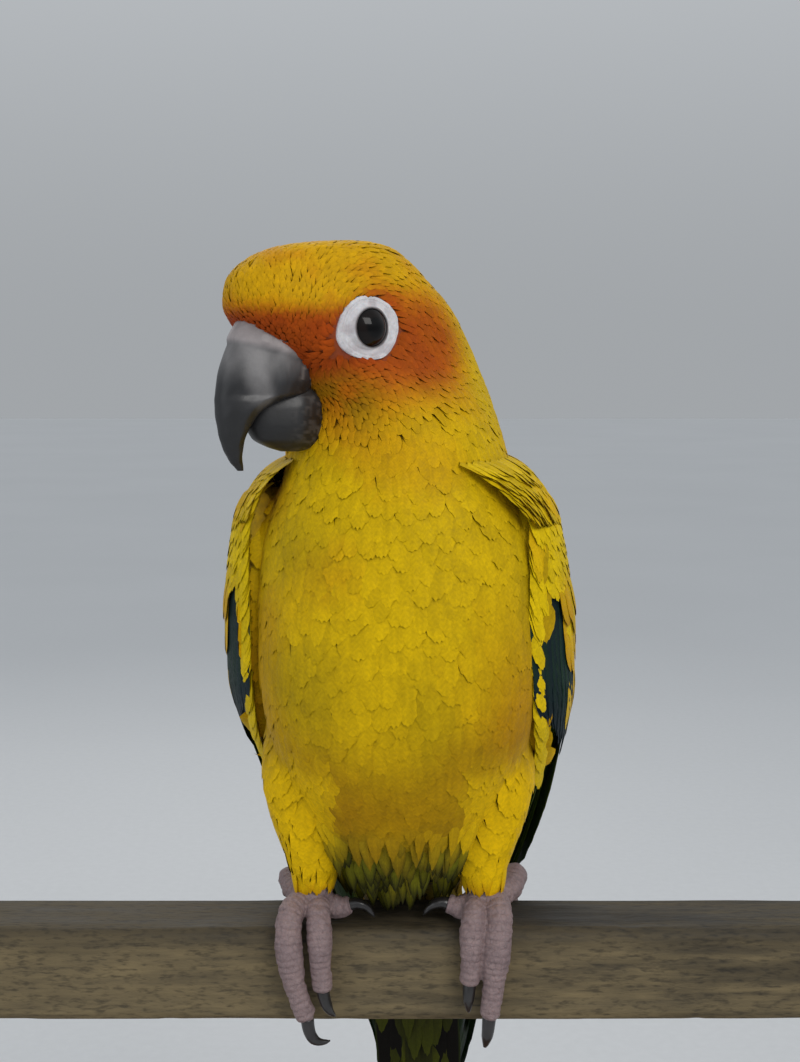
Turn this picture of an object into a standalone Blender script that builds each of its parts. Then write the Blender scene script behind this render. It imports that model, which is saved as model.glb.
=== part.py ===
"""A sun conure as a still, life-size model: it grips a short length of square perch on a display stand.

Sizes are in millimetres and become metres where a mesh is made. The bird is laid out in the perch frame:
x to the viewer's right, y away from the viewer, z up, zero at the middle of the perch's top face. The whole
model is then lifted onto the stand, whose base has its bottom centre at the origin. Left and right are the
bird's own, so its left side is at +x.
"""

import math

import bmesh
import bpy
import numpy as np
from mathutils import Matrix, Vector

MM = 0.001
GAP = 0.3

# Perch and stand
PERCH_SIDE = 18.4
PERCH_LENGTH = 190.0
PERCH_EDGE = 2.6
BASE_LENGTH = 200.0
BASE_WIDTH = 124.0
BASE_HEIGHT = 12.0
BASE_EDGE = 2.0
ROD_RADIUS = 3.0
ROD_PLACE = 87.0
ROD_SIDES = 20
TAIL_CLEARANCE = 6.0
PERCH_BACK_SHIFT = -10.0

# Lengths that place the bird
TAIL_DROP = 119.0
BODY_YAW = -8.0
HEAD_YAW = -52.0
BODY_SIDES = 32

# Planes that part the head, neck and torso: height on the body's axis and how far the plane tips forward
HEAD_PLANE = (93.0, 12.0)
NECK_PLANE = (79.0, 8.0)
TAIL_PLANE = (-12.0, 0.0)

CUTTER_SIDE = 400.0
PERCH_TOP = BASE_HEIGHT + TAIL_CLEARANCE + TAIL_DROP

# Body stations: height, middle x, middle y, yaw, reach to front, reach to back, half width, roundness
BODY_COLUMNS = ("z", "x", "y", "yaw", "front", "back", "half", "power")
BODY_STATIONS = (
    (126.6, -9.5, -8.5, 52, 6, 5, 4.5, 2.0),
    (125.6, -9.0, -7.8, 52, 14, 7.5, 7.6, 2.1),
    (123.0, -9.0, -7.0, 52, 21, 10.8, 10.6, 2.2),
    (119.0, -9.0, -7.0, 52, 25, 15.6, 12.8, 2.2),
    (115.0, -9.0, -7.0, 52, 25.4, 20.4, 13.8, 2.2),
    (111.0, -9.0, -7.0, 52, 22.8, 23.4, 14.2, 2.2),
    (107.0, -8.2, -6.6, 51, 18.6, 25.0, 14.6, 2.2),
    (103.0, -6.8, -6.0, 48, 15.4, 25.5, 15.6, 2.2),
    (98.0, -4.0, -5.0, 42, 15.2, 23.7, 18.0, 2.2),
    (92.0, -1.8, -4.5, 33, 17.6, 21.5, 20.0, 2.2),
    (87.0, -0.3, -4.0, 26, 20.3, 19.2, 20.8, 2.2),
    (82.0, 0.3, -3.8, 18, 22.5, 19.8, 22.6, 2.2),
    (77.0, 0.5, -3.4, 12, 24.3, 21.5, 24.8, 2.2),
    (70.0, 0.5, -3.0, 8, 26.0, 23.4, 26.2, 2.2),
    (62.0, 0.5, -3.0, 8, 27.0, 24.6, 26.9, 2.2),
    (52.0, 0.5, -3.0, 8, 27.2, 25.4, 27.0, 2.2),
    (41.0, 0.5, -2.0, 8, 27.0, 25.6, 26.0, 2.2),
    (30.0, 0.5, 1.0, 8, 26.0, 22.8, 23.4, 2.2),
    (20.0, 0.7, 5.0, 8, 24.5, 19.0, 19.4, 2.2),
    (12.0, 1.2, 10.0, 8, 21.5, 15.6, 16.0, 2.1),
    (5.5, 1.8, 15.5, 8, 15.5, 10.6, 13.2, 2.1),
    (1.0, 2.2, 18.5, 8, 9.0, 7.8, 11.6, 2.1),
    (-4.0, 2.6, 20.0, 8, 7.8, 6.6, 10.8, 2.1),
    (-12.0, 3.0, 21.5, 8, 7.0, 5.6, 10.2, 2.1),
    (-20.0, 3.4, 23.0, 8, 6.0, 4.6, 9.4, 2.1),
)
HEAD_TURN_ROW = 5
CROWN_HEIGHTS = (126.6, 126.2, 125.4, 124.2, 122.6)
HEAD_RING_TOP = 120.4
HEAD_RING_STEP = 3.0
TORSO_RING_STEP = 5.6

# Wing stations in the bird's own frame: height, then front edge, outer control point and back edge as x, y
WING_STATIONS = (
    (84.5, 22.0, -9.5, 27.0, -7.0, 20.5, 0.0),
    (81.0, 24.6, -12.5, 33.6, -5.0, 18.5, 8.4),
    (75.0, 25.8, -14.5, 36.8, -3.5, 16.5, 16.0),
    (67.0, 26.0, -15.0, 40.6, -1.5, 13.0, 22.6),
    (57.0, 26.0, -14.2, 43.8, 2.0, 9.2, 27.6),
    (47.0, 26.4, -12.0, 44.2, 5.5, 6.4, 30.2),
    (37.0, 26.8, -6.0, 40.0, 10.5, 4.2, 31.6),
    (26.0, 25.8, 3.0, 34.8, 16.0, 3.2, 32.2),
    (11.0, 22.0, 14.0, 28.4, 23.0, 2.6, 33.2),
    (-2.0, 18.0, 19.8, 23.0, 28.4, 2.4, 34.6),
    (-16.0, 15.0, 25.4, 18.8, 32.2, 2.4, 36.4),
    (-30.0, 12.4, 29.8, 15.4, 35.0, 2.6, 38.4),
    (-42.0, 10.2, 34.0, 12.2, 37.8, 2.8, 40.2),
    (-53.0, 8.4, 37.6, 9.6, 40.0, 3.0, 41.6),
)
WING_DEPTH = ((85.0, 3.0), (70.0, 6.0), (45.0, 6.0), (29.0, 2.2))
LINING_GAP = 0.5
WING_EDGE = 0.7
WING_ROWS = 10
WING_COLUMNS = 7
WING_CORE_END = 29.0
WING_VANE_THICKNESS = 0.58
WING_ROLL = 0.15
SLOPE_STEP = 0.02
TIER_CURVE = 0.55
CAMBER = 0.08

# Outlines of feathers: places from root to tip and the share of the full width there
LONG_SHAPE = ((0, 0.4), (0.33, 1), (0.66, 0.97), (0.91, 0.7), (1, 0.25))
MIDDLE_SHAPE = ((0, 0.4), (0.45, 1), (0.86, 0.9), (1, 0.35))
SHORT_SHAPE = ((0, 0.4), (0.7, 1), (1, 0.42))

# Feather tiers of the folded wing, each from its front edge to its back edge: roots and tips as height and as
# place across the wing, heights over its surface, and half width
WING_TIERS = (
    {
        "count": 7, "root_z": (42, 40, 38), "root_t": (0.12, 0.48),
        "tip_z": (-40, -53, -47, -34, -18, -4), "tip_t": (0.2, 0.45, 0.55, 0.6),
        "root_height": -0.8, "height": -2.2, "step": 0.42, "half": 3.3, "shape": LONG_SHAPE,
    },
    {
        "count": 7, "root_z": (46, 50), "root_t": (0.32, 0.92),
        "tip_z": (2, 8, 16, 24), "tip_t": (0.3, 0.88),
        "root_height": -0.8, "height": 0.9, "step": 0.14, "half": 4.4, "shape": MIDDLE_SHAPE,
    },
    {
        "count": 3, "root_z": (60, 54), "root_t": (0.06, 0.2),
        "tip_z": (36, 24), "tip_t": (0.06, 0.2),
        "root_height": -0.8, "height": 0.5, "step": 0.3, "half": 2.8, "shape": MIDDLE_SHAPE,
    },
    {
        "count": 6, "root_z": (58, 62), "root_t": (0.28, 0.92),
        "tip_z": (36, 42), "tip_t": (0.26, 0.9),
        "root_height": -0.8, "height": 1.2, "step": 0.05, "half": 4.8, "shape": SHORT_SHAPE,
    },
    {
        "count": 6, "root_z": (70, 73), "root_t": (0.2, 0.9),
        "tip_z": (53, 57), "tip_t": (0.16, 0.9),
        "root_height": -0.8, "height": 0.9, "step": 0.05, "half": 4.9, "shape": SHORT_SHAPE,
    },
)

# Tail: where it leaves the body and where its longest feathers end, and its feathers
TAIL_ROOT = (3.2, 22.5, -12.3)
TAIL_TIP = (7.5, 42.0, -119.0)
TAIL_LENGTHS = (1.0, 0.9, 0.8, 0.7, 0.61, 0.53)
TAIL_HALF = 3.3
TAIL_PAIR_OFFSET = 3.1
TAIL_PAIR_STEP = 0.68
TAIL_MIDDLE_SHARE = 0.4
TAIL_TAPER = 0.8
TAIL_STACK_TOP = 1.6
TAIL_STACK_STEP = 0.85
TAIL_VANE_THICKNESS = 0.5
TAIL_CORE_HALF = (8.8, 5.4)
TAIL_CORE_THICK = (4.4, 1.2)
TAIL_FEATHER_START = 0.05
# Tail coverts: the side of the tail, where the middle one ends, and its height off the tail's middle
TAIL_COVERTS = ((1, 0.30, 3.6), (-1, 0.36, -4.6))
TAIL_COVERT_START = 0.01
TAIL_COVERT_HALF = 4.2
TAIL_COVERT_PLACES = (5.0, 5.4)
TAIL_COVERT_DROP = 0.07
TAIL_COVERT_LIFT = 0.9
TAIL_CORE_END = 0.26
TAIL_CORE_ROWS = 4
TAIL_CORE_SIDES = 12

# Eyes, in the head's own frame: forward, to the side, height
EYE_FORWARD = 5.6
EYE_SIDE = 10.7
EYE_HEIGHT = 111.0
EYE_RADIUS = 4.6
LID_RADIUS = 3.75
LID_TUBE = 0.65
LID_SEGMENTS = 18
LID_SIDES = 5

# Nostrils, in the head's own frame
NOSTRIL_PLACE = (21.2, 4.9, 109.2)
NOSTRIL_RADIUS = 0.85

# Thigh stations of the left leg: height, middle x, middle y, half width, half depth
THIGH_STATIONS = (
    (40.0, 17.2, -3.0, 5.0, 6.0),
    (36.0, 17.6, -4.0, 7.2, 8.6),
    (28.0, 17.8, -5.0, 7.4, 9.2),
    (20.0, 17.2, -5.0, 6.6, 8.0),
    (14.0, 15.8, -4.6, 5.8, 6.6),
    (9.6, 15.4, -4.4, 4.8, 5.4),
    (7.6, 15.4, -4.4, 4.0, 4.6),
)
RIGHT_THIGH_SHIFT = -0.6
THIGH_SIDES = 16
THIGH_RINGS = 10

# Feet: the shank's two ends, then each toe's path over the perch and its claw's path
FEET = {
    "left": {
        "shank": ((14.8, -3.6, 14.0), (15.2, -4.2, 9.0), (16.2, -4.8, 4.6)),
        "toes": (
            ((14.2, -4.6, 3.8), (11.4, -5.6, 3.0), (8.8, -5.2, 3.6)),
            (
                (15.0, -4.0, 3.9),
                (13.8, -9.6, 3.2),
                (13.3, -12.0, -1.6),
                (13.1, -12.0, -6.0),
                (12.8, -11.8, -10.0),
            ),
            (
                (17.2, -3.6, 4.0),
                (18.4, -9.6, 3.4),
                (18.1, -12.2, -0.8),
                (17.6, -12.2, -7.0),
                (17.0, -12.1, -12.2),
                (16.5, -11.8, -16.8),
            ),
            (
                (18.0, -2.4, 4.0),
                (21.2, 1.0, 4.6),
                (22.4, 6.4, 5.0),
                (22.2, 11.6, 1.4),
                (21.4, 12.4, -4.6),
            ),
        ),
        "claws": (
            ((9.4, -5.2, 3.4), (6.6, -5.4, 3.6), (4.4, -5.6, 1.4)),
            ((12.9, -11.9, -9.2), (12.7, -12.4, -12.2), (12.8, -11.6, -15.0)),
            ((16.6, -11.9, -15.8), (16.2, -12.2, -19.4), (15.9, -10.2, -22.4)),
            ((21.5, 12.4, -3.8), (21.0, 12.6, -7.4), (20.6, 11.0, -10.4)),
        ),
    },
    "right": {
        "shank": ((-14.4, -3.6, 14.0), (-15.0, -4.2, 9.0), (-17.0, -4.8, 4.6)),
        "toes": (
            ((-15.0, -4.6, 3.8), (-11.8, -5.0, 2.9), (-9.0, -5.2, 3.4)),
            (
                (-15.6, -4.0, 3.9),
                (-15.2, -9.6, 3.2),
                (-14.8, -12.0, -1.6),
                (-14.7, -12.0, -6.4),
                (-14.2, -11.8, -11.4),
            ),
            (
                (-17.4, -3.6, 4.0),
                (-20.2, -9.6, 3.4),
                (-20.6, -12.2, -0.8),
                (-20.0, -12.2, -7.0),
                (-18.6, -12.1, -12.4),
                (-16.8, -11.8, -17.0),
            ),
            (
                (-17.6, -2.4, 4.0),
                (-20.4, 1.6, 4.2),
                (-21.4, 6.8, 4.2),
                (-21.2, 11.6, 1.0),
                (-20.4, 12.4, -4.8),
            ),
        ),
        "claws": (
            ((-9.6, -5.2, 3.3), (-7.0, -5.4, 3.4), (-4.8, -5.8, 1.2)),
            ((-14.3, -11.9, -10.6), (-13.4, -12.4, -13.6), (-12.0, -11.8, -15.6)),
            ((-17.2, -11.9, -16.2), (-16.0, -12.4, -19.8), (-13.0, -11.8, -20.4)),
            ((-20.5, 12.4, -4.0), (-20.0, 12.6, -7.6), (-19.6, 11.0, -10.6)),
        ),
    },
}
SHANK_RADII = (2.6, 3.0, 3.5)
SHANK_RINGS = 5
SHANK_SIDES = 10
TOE_RADII = (
    (3.0, 2.6, 2.3, 1.9),
    (2.9, 2.6, 2.4, 2.0),
    (3.1, 2.8, 2.5, 2.0),
    (3.0, 2.7, 2.4, 1.9),
)
TOE_RINGS = 10
TOE_SIDES = 8
KNUCKLE_SWELL = 0.05
TOE_END_SHARE = 0.55
CLAW_RADII = (1.35, 1.1, 0.35)
CLAW_RINGS = 6
CLAW_SIDES = 7

# Bill stations from the top down, in the head's own frame: height, reach forward, reach back, half width
UPPER_BILL = (
    (112.0, 23.0, 12.0, 4.4),
    (109.5, 24.6, 10.0, 5.2),
    (106.0, 26.2, 9.0, 5.8),
    (102.5, 27.4, 9.0, 6.0),
    (99.8, 27.8, 10.0, 5.6),
    (98.6, 27.9, 16.0, 5.1),
    (96.5, 27.8, 20.4, 4.3),
    (94.0, 27.5, 22.2, 3.3),
    (91.5, 27.0, 23.2, 2.4),
    (89.5, 26.2, 23.4, 1.7),
    (88.0, 25.3, 23.2, 1.1),
    (86.6, 24.0, 22.9, 0.5),
)
LOWER_BILL = (
    (100.5, 18.5, 8.0, 4.0),
    (99.0, 20.0, 7.0, 4.9),
    (97.0, 21.2, 6.5, 5.3),
    (94.5, 21.8, 6.5, 5.3),
    (92.0, 20.6, 7.0, 4.7),
    (90.4, 17.6, 8.5, 3.4),
    (89.6, 15.0, 11.0, 1.6),
)
BILL_RIDGE = 0.3
BILL_ROUNDNESS = 0.8
BILL_SIDES = 18
BILL_RINGS = 14

SHARP_ANGLE = 40.0

# Each material slot's colour and roughness
MATERIALS = {
    "plumage_orange": ((0.80, 0.22, 0.02), 0.7),
    "plumage_yellow": ((0.85, 0.55, 0.02), 0.7),
    "plumage_wing": ((0.20, 0.30, 0.05), 0.6),
    "plumage_tail": ((0.07, 0.09, 0.04), 0.6),
    "bill_horn": ((0.05, 0.05, 0.055), 0.35),
    "eye_dark": ((0.01, 0.008, 0.008), 0.08),
    "foot_skin": ((0.36, 0.27, 0.26), 0.6),
    "claw_horn": ((0.05, 0.045, 0.045), 0.3),
    "perch_wood": ((0.23, 0.15, 0.08), 0.8),
    "base_wood": ((0.20, 0.11, 0.06), 0.5),
    "rod_metal": ((0.45, 0.45, 0.46), 0.3),
}



def table_value(rows, at, column):
    """Smooth value of a column of a table whose first column falls from row to row."""
    heights = [row[0] for row in rows]
    if at >= heights[0]:
        return rows[0][column]
    if at <= heights[-1]:
        return rows[-1][column]
    i = next(k for k in range(len(rows) - 1) if heights[k] >= at >= heights[k + 1])
    span = heights[i + 1] - heights[i]
    t = (at - heights[i]) / span
    before = slope_at(rows, i, column) * span
    after = slope_at(rows, i + 1, column) * span
    start = rows[i][column]
    end = rows[i + 1][column]
    cube = 2 * start - 2 * end + before + after
    square = 3 * end - 3 * start - 2 * before - after
    return ((cube * t + square) * t + before) * t + start


def slope_at(rows, i, column):
    """Slope of a column at row i that never overshoots its neighbours."""
    if i in (0, len(rows) - 1):
        return 0.0 if i else (rows[1][column] - rows[0][column]) / (rows[1][0] - rows[0][0])
    left = (rows[i][column] - rows[i - 1][column]) / (rows[i][0] - rows[i - 1][0])
    right = (rows[i + 1][column] - rows[i][column]) / (rows[i + 1][0] - rows[i][0])
    if left * right <= 0:
        return 0.0
    return 2 * left * right / (left + right)


def turned(point, yaw):
    """A point turned about the vertical by yaw degrees."""
    c = math.cos(math.radians(yaw))
    s = math.sin(math.radians(yaw))
    x, y, z = point
    return Vector((c * x - s * y, s * x + c * y, z))


def signed_power(value, power):
    return math.copysign(abs(value) ** power, value)


def body_ring(z):
    """One level section of the body, starting at its front and going round past its left side."""
    row = {name: table_value(BODY_STATIONS, z, k) for k, name in enumerate(BODY_COLUMNS)}
    ring = []
    for k in range(BODY_SIDES):
        angle = 2 * math.pi * k / BODY_SIDES
        along = signed_power(math.cos(angle), 2 / row["power"])
        across = signed_power(math.sin(angle), 2 / row["power"])
        reach = row["front"] if along > 0 else row["back"]
        local = (row["half"] * across, -reach * along, 0)
        ring.append(turned(local, -row["yaw"]) + Vector((row["x"], row["y"], z)))
    return ring


def lift(point):
    """A point of the perch frame, in metres in the model's frame."""
    return Vector((point[0], point[1] + PERCH_BACK_SHIFT, point[2] + PERCH_TOP)) * MM


def new_material(name, colour, roughness, metallic=0.0):
    material = bpy.data.materials.new(name)
    material.use_nodes = True
    shader = material.node_tree.nodes["Principled BSDF"]
    shader.inputs["Base Color"].default_value = (*colour, 1)
    shader.inputs["Roughness"].default_value = roughness
    shader.inputs["Metallic"].default_value = metallic
    return material


def object_from_bmesh(name, bm, collection):
    bmesh.ops.recalc_face_normals(bm, faces=bm.faces)
    mesh = bpy.data.meshes.new(name)
    bm.to_mesh(mesh)
    bm.free()
    obj = bpy.data.objects.new(name, mesh)
    collection.objects.link(obj)
    return obj


def loft(name, rings, collection):
    """A closed skin over rings of points in the perch frame, with flat ends."""
    bm = bmesh.new()
    levels = [[bm.verts.new(lift(p)) for p in ring] for ring in rings]
    count = len(levels[0])
    for lower, upper in zip(levels, levels[1:]):
        for k in range(count):
            following = (k + 1) % count
            bm.faces.new((lower[k], lower[following], upper[following], upper[k]))
    bm.faces.new(levels[0])
    bm.faces.new(levels[-1])
    return object_from_bmesh(name, bm, collection)


def tube(name, points, radii, sides, collection, flatten=1.0):
    """A tube along points with its own radius at each, its ends drawn in to blunt tips."""
    points = [Vector(p) for p in points]
    rings = []
    side_hint = Vector((1, 0, 0.02))
    for i, centre in enumerate(points):
        ahead = points[min(i + 1, len(points) - 1)] - points[max(i - 1, 0)]
        ahead.normalize()
        across = (side_hint - ahead * side_hint.dot(ahead)).normalized()
        upward = ahead.cross(across)
        side_hint = across
        ring = []
        for k in range(sides):
            angle = 2 * math.pi * k / sides
            offset = across * math.cos(angle) + upward * math.sin(angle) * flatten
            ring.append(centre + offset * radii[i])
        rings.append(ring)
    return loft(name, rings, collection)


def smooth_path(points, count):
    """Points evenly spaced in step along a smooth curve through the given points (Catmull-Rom)."""
    ends = [2 * Vector(points[0]) - Vector(points[1]), 2 * Vector(points[-1]) - Vector(points[-2])]
    chain = [ends[0], *[Vector(p) for p in points], ends[1]]
    path = []
    for step in range(count):
        place = step / (count - 1) * (len(points) - 1)
        i = min(int(place), len(points) - 2)
        t = place - i
        a, b, c, d = chain[i : i + 4]
        path.append(
            0.5 * (2 * b + (c - a) * t + (2 * a - 5 * b + 4 * c - d) * t**2 + (3 * b - a - 3 * c + d) * t**3)
        )
    return path


def blend_list(values, count):
    """A short list of values spread over count steps by straight lines."""
    return list(np.interp(np.linspace(0, len(values) - 1, count), range(len(values)), values))


def apply_modifiers(obj):
    graph = bpy.context.evaluated_depsgraph_get()
    mesh = bpy.data.meshes.new_from_object(obj.evaluated_get(graph))
    obj.modifiers.clear()
    old = obj.data
    obj.data = mesh
    bpy.data.meshes.remove(old)


def boolean(target, other, operation, solver="EXACT"):
    modifier = target.modifiers.new(operation.lower(), "BOOLEAN")
    modifier.operation = operation
    modifier.solver = solver
    modifier.object = other
    apply_modifiers(target)


def remove(*objects):
    for obj in objects:
        bpy.data.objects.remove(obj, do_unlink=True)


def grown(obj, distance=GAP):
    """A copy of a solid, every side moved outwards."""
    bm = bmesh.new()
    bm.from_mesh(obj.data)
    bmesh.ops.triangulate(bm, faces=bm.faces)
    bm.normal_update()
    for vert in bm.verts:
        vert.co += vert.normal * distance * MM * vert.calc_shell_factor()
    return object_from_bmesh(obj.name + "_grown", bm, CUTTERS)


def cut_clear(target, *others):
    """Takes from the target whatever lies in the others or within the gap around them."""
    for other in others:
        cutter = grown(other)
        boolean(target, cutter, "DIFFERENCE")
        remove(cutter)
    keep_largest(target)


def join_pieces(target, pieces, solver="EXACT"):
    """Fuses pieces with the target by one Boolean union."""
    gathered = bpy.data.collections.new("gathered")
    bpy.context.scene.collection.children.link(gathered)
    for piece in pieces:
        for owner in piece.users_collection:
            owner.objects.unlink(piece)
        gathered.objects.link(piece)
    modifier = target.modifiers.new("join", "BOOLEAN")
    modifier.operation = "UNION"
    modifier.operand_type = "COLLECTION"
    modifier.collection = gathered
    modifier.solver = solver
    apply_modifiers(target)
    remove(*pieces)
    bpy.data.collections.remove(gathered)
    keep_largest(target)


def keep_largest(obj):
    """Leaves only the largest closed surface of a mesh."""
    bm = bmesh.new()
    bm.from_mesh(obj.data)
    bmesh.ops.triangulate(bm, faces=bm.faces)
    seen = set()
    shells = []
    for face in bm.faces:
        if face in seen:
            continue
        shell = []
        waiting = [face]
        seen.add(face)
        while waiting:
            current = waiting.pop()
            shell.append(current)
            for edge in current.edges:
                for near in edge.link_faces:
                    if near not in seen:
                        seen.add(near)
                        waiting.append(near)
        shells.append(shell)
    shells.sort(key=shell_volume)
    for shell in shells[:-1]:
        bmesh.ops.delete(bm, geom=shell, context="FACES")
    loose = [vert for vert in bm.verts if not vert.link_faces]
    bmesh.ops.delete(bm, geom=loose, context="VERTS")
    bm.to_mesh(obj.data)
    bm.free()


def shell_volume(faces):
    total = 0.0
    for face in faces:
        a, b, c = [vert.co for vert in face.verts]
        total += a.dot(b.cross(c))
    return abs(total)


def box(name, centre, size, collection, bevel=0.0):
    """A block in the perch frame, its edges rounded by bevel."""
    bm = bmesh.new()
    bmesh.ops.create_cube(bm, size=MM)
    bmesh.ops.scale(bm, vec=size, verts=bm.verts)
    if bevel:
        bmesh.ops.bevel(
            bm, geom=list(bm.edges), offset=bevel * MM, segments=3, affect="EDGES", profile=0.5
        )
    bmesh.ops.translate(bm, vec=lift(centre), verts=bm.verts)
    return object_from_bmesh(name, bm, collection)


def half_space(name, height, tip, above):
    """A big block with one face across the body's axis at this height, tipped down at the front."""
    shift = CUTTER_SIDE / 2 + GAP / 2
    bm = bmesh.new()
    bmesh.ops.create_cube(bm, size=CUTTER_SIDE * MM)
    bmesh.ops.translate(bm, vec=(0, 0, (shift if above else -shift) * MM), verts=bm.verts)
    bmesh.ops.rotate(bm, matrix=Matrix.Rotation(math.radians(tip), 3, "X"), verts=bm.verts)
    bmesh.ops.translate(bm, vec=lift((0, 0, height)), verts=bm.verts)
    return object_from_bmesh(name, bm, CUTTERS)


def copy_of(obj, name, collection):
    twin = obj.copy()
    twin.data = obj.data.copy()
    twin.name = name
    collection.objects.link(twin)
    return twin


def body_between(body, name, lower, upper):
    """The part of the body between two planes, either of which may be missing."""
    piece = copy_of(body, name, PARTS)
    for plane, above in ((lower, True), (upper, False)):
        if plane:
            keep = half_space("keep", plane[0], plane[1], above)
            boolean(piece, keep, "INTERSECT")
            remove(keep)
    keep_largest(piece)
    return piece


def make_body():
    """The whole body as one solid, before it is parted into head, neck and torso."""
    bottom = BODY_STATIONS[-1][0]
    heights = list(CROWN_HEIGHTS)
    heights += list(np.arange(HEAD_RING_TOP, NECK_PLANE[0], -HEAD_RING_STEP))
    heights += list(np.arange(heights[-1] - TORSO_RING_STEP, bottom, -TORSO_RING_STEP))
    return loft("body", [body_ring(z) for z in heights], CUTTERS)


def head_point(forward, side, height):
    """A point of the head's own frame (forward, to its left, height) in the perch frame."""
    axis_x, axis_y = BODY_STATIONS[HEAD_TURN_ROW][1:3]
    return turned((side, -forward, 0), HEAD_YAW) + Vector((axis_x, axis_y, height))


def wing_station(z):
    return [table_value(WING_STATIONS, z, k) for k in range(1, 7)]


def wing_surface(z, t):
    """A point on the left wing's outer surface, in the bird's own frame: t runs from front to back edge."""
    fx, fy, cx, cy, bx, by = wing_station(z)
    u = 1 - t
    x = u * u * fx + 2 * u * t * cx + t * t * bx
    y = u * u * fy + 2 * u * t * cy + t * t * by
    return Vector((x, y, z))


def wing_point(side, z, t, height):
    """A point at a height over the wing's outer surface, in the perch frame; side is 1 for the left wing."""
    here = wing_surface(z, t)
    along = wing_surface(z - 1, t) - wing_surface(z + 1, t)
    across = wing_surface(z, min(t + SLOPE_STEP, 1)) - wing_surface(z, max(t - SLOPE_STEP, 0))
    normal = across.cross(along).normalized()
    point = here - normal * height
    return turned((side * point.x, point.y, point.z), BODY_YAW)


def body_reach(z, direction):
    """How far the body reaches at this height from its middle, in a direction given in the perch frame."""
    row = {name: table_value(BODY_STATIONS, z, k) for k, name in enumerate(BODY_COLUMNS)}
    local = turned(direction, row["yaw"])
    along = row["front"] if local.y < 0 else row["back"]
    total = abs(local.y / along) ** row["power"] + abs(local.x / row["half"]) ** row["power"]
    return total ** (-1 / row["power"])


def wing_lining(side, z, t):
    """The point under the wing's outer surface that stays the gap away from the body."""
    outer = wing_point(side, z, t, 0)
    middle = Vector((table_value(BODY_STATIONS, z, 1), table_value(BODY_STATIONS, z, 2), z))
    spoke = outer - middle
    direction = spoke.normalized()
    deepest = float(np.interp(-z, [-row[0] for row in WING_DEPTH], [row[1] for row in WING_DEPTH]))
    reach = max(body_reach(z, direction) + LINING_GAP, spoke.length - deepest)
    return middle + direction * min(reach, spoke.length - WING_EDGE)


def make_wing_core(side, name):
    """The arm under the coverts: a curved plate from the shoulder to half way down the wing."""
    rings = []
    for z in np.linspace(WING_STATIONS[0][0], WING_CORE_END, WING_ROWS):
        places = [column / WING_COLUMNS for column in range(WING_COLUMNS + 1)]
        ring = [wing_point(side, z, t, 0) for t in places]
        ring += [wing_lining(side, z, t) for t in reversed(places)]
        rings.append(ring)
    return loft(name, rings, PARTS)


def vane(name, frames, thickness):
    """A closed thin feather. Each frame holds its middle, its way across and outwards, and its half width.

    Its faces are split into triangles alike above and below, so a bent vane never crosses itself.
    """
    bm = bmesh.new()
    rows = []
    for middle, across, outward, half in frames:
        sink = CAMBER * half
        row = []
        for place, rise in ((-1, -sink), (0, 0), (1, -sink)):
            row.append(middle + across * half * place + outward * (rise + thickness / 2))
        for place, rise in ((1, -sink), (0, 0), (-1, -sink)):
            row.append(middle + across * half * place + outward * (rise - thickness / 2))
        rows.append([bm.verts.new(lift(p)) for p in row])
    for here, ahead in zip(rows, rows[1:]):
        for k in (0, 1):
            bm.faces.new((here[k], here[k + 1], ahead[k + 1]))
            bm.faces.new((here[k], ahead[k + 1], ahead[k]))
            low = 5 - k
            bm.faces.new((here[low], ahead[low - 1], here[low - 1]))
            bm.faces.new((here[low], ahead[low], ahead[low - 1]))
        for k in (2, 5):
            after = (k + 1) % 6
            bm.faces.new((here[k], here[after], ahead[after], ahead[k]))
    for row in (rows[0], rows[-1]):
        bm.faces.new((row[0], row[1], row[4], row[5]))
        bm.faces.new((row[1], row[2], row[3], row[4]))
    return object_from_bmesh(name, bm, CUTTERS)


def vane_frames(points, outwards, halves, roll):
    """Frames along a feather: roll lifts its first edge and tucks the other under its neighbour."""
    frames = []
    for i, middle in enumerate(points):
        ahead = (points[min(i + 1, len(points) - 1)] - points[max(i - 1, 0)]).normalized()
        across = outwards[i].cross(ahead).normalized()
        outward = ahead.cross(across).normalized()
        across = (across - outward * roll).normalized()
        outward = ahead.cross(across).normalized()
        frames.append((middle, across, outward, halves[i]))
    return frames


def wing_vane(side, root, tip, root_height, tip_height, half, shape):
    """One feather of the wing, from root to tip as height and place across the wing."""
    points = []
    outwards = []
    halves = []
    for s, width in shape:
        z = root[0] + (tip[0] - root[0]) * s
        t = root[1] + (tip[1] - root[1]) * s
        height = root_height + (tip_height - root_height) * s**TIER_CURVE
        points.append(wing_point(side, z, t, height))
        outwards.append((wing_point(side, z, t, height + 1) - points[-1]).normalized())
        halves.append(half * width)
    frames = vane_frames(points, outwards, halves, side * WING_ROLL)
    return vane("feather", frames, WING_VANE_THICKNESS)


def wing_tier(side, tier):
    """The feathers of one tier, evenly spread from the wing's front edge to its back edge."""
    count = tier["count"]
    feathers = []
    for k in range(count):
        at = k / (count - 1)
        root = (spread(tier["root_z"], at), spread(tier["root_t"], at))
        tip = (spread(tier["tip_z"], at), spread(tier["tip_t"], at))
        tip_height = tier["height"] + tier["step"] * k
        low = tier["root_height"]
        feathers.append(wing_vane(side, root, tip, low, tip_height, tier["half"], tier["shape"]))
    return feathers


def spread(values, at):
    """The value of a short evenly spaced list at a place from 0 to 1."""
    return float(np.interp(at * (len(values) - 1), range(len(values)), values))


def make_wing(side, name):
    wing = make_wing_core(side, name)
    feathers = []
    for tier in WING_TIERS:
        feathers += wing_tier(side, tier)
    join_pieces(wing, feathers)
    return wing


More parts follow.
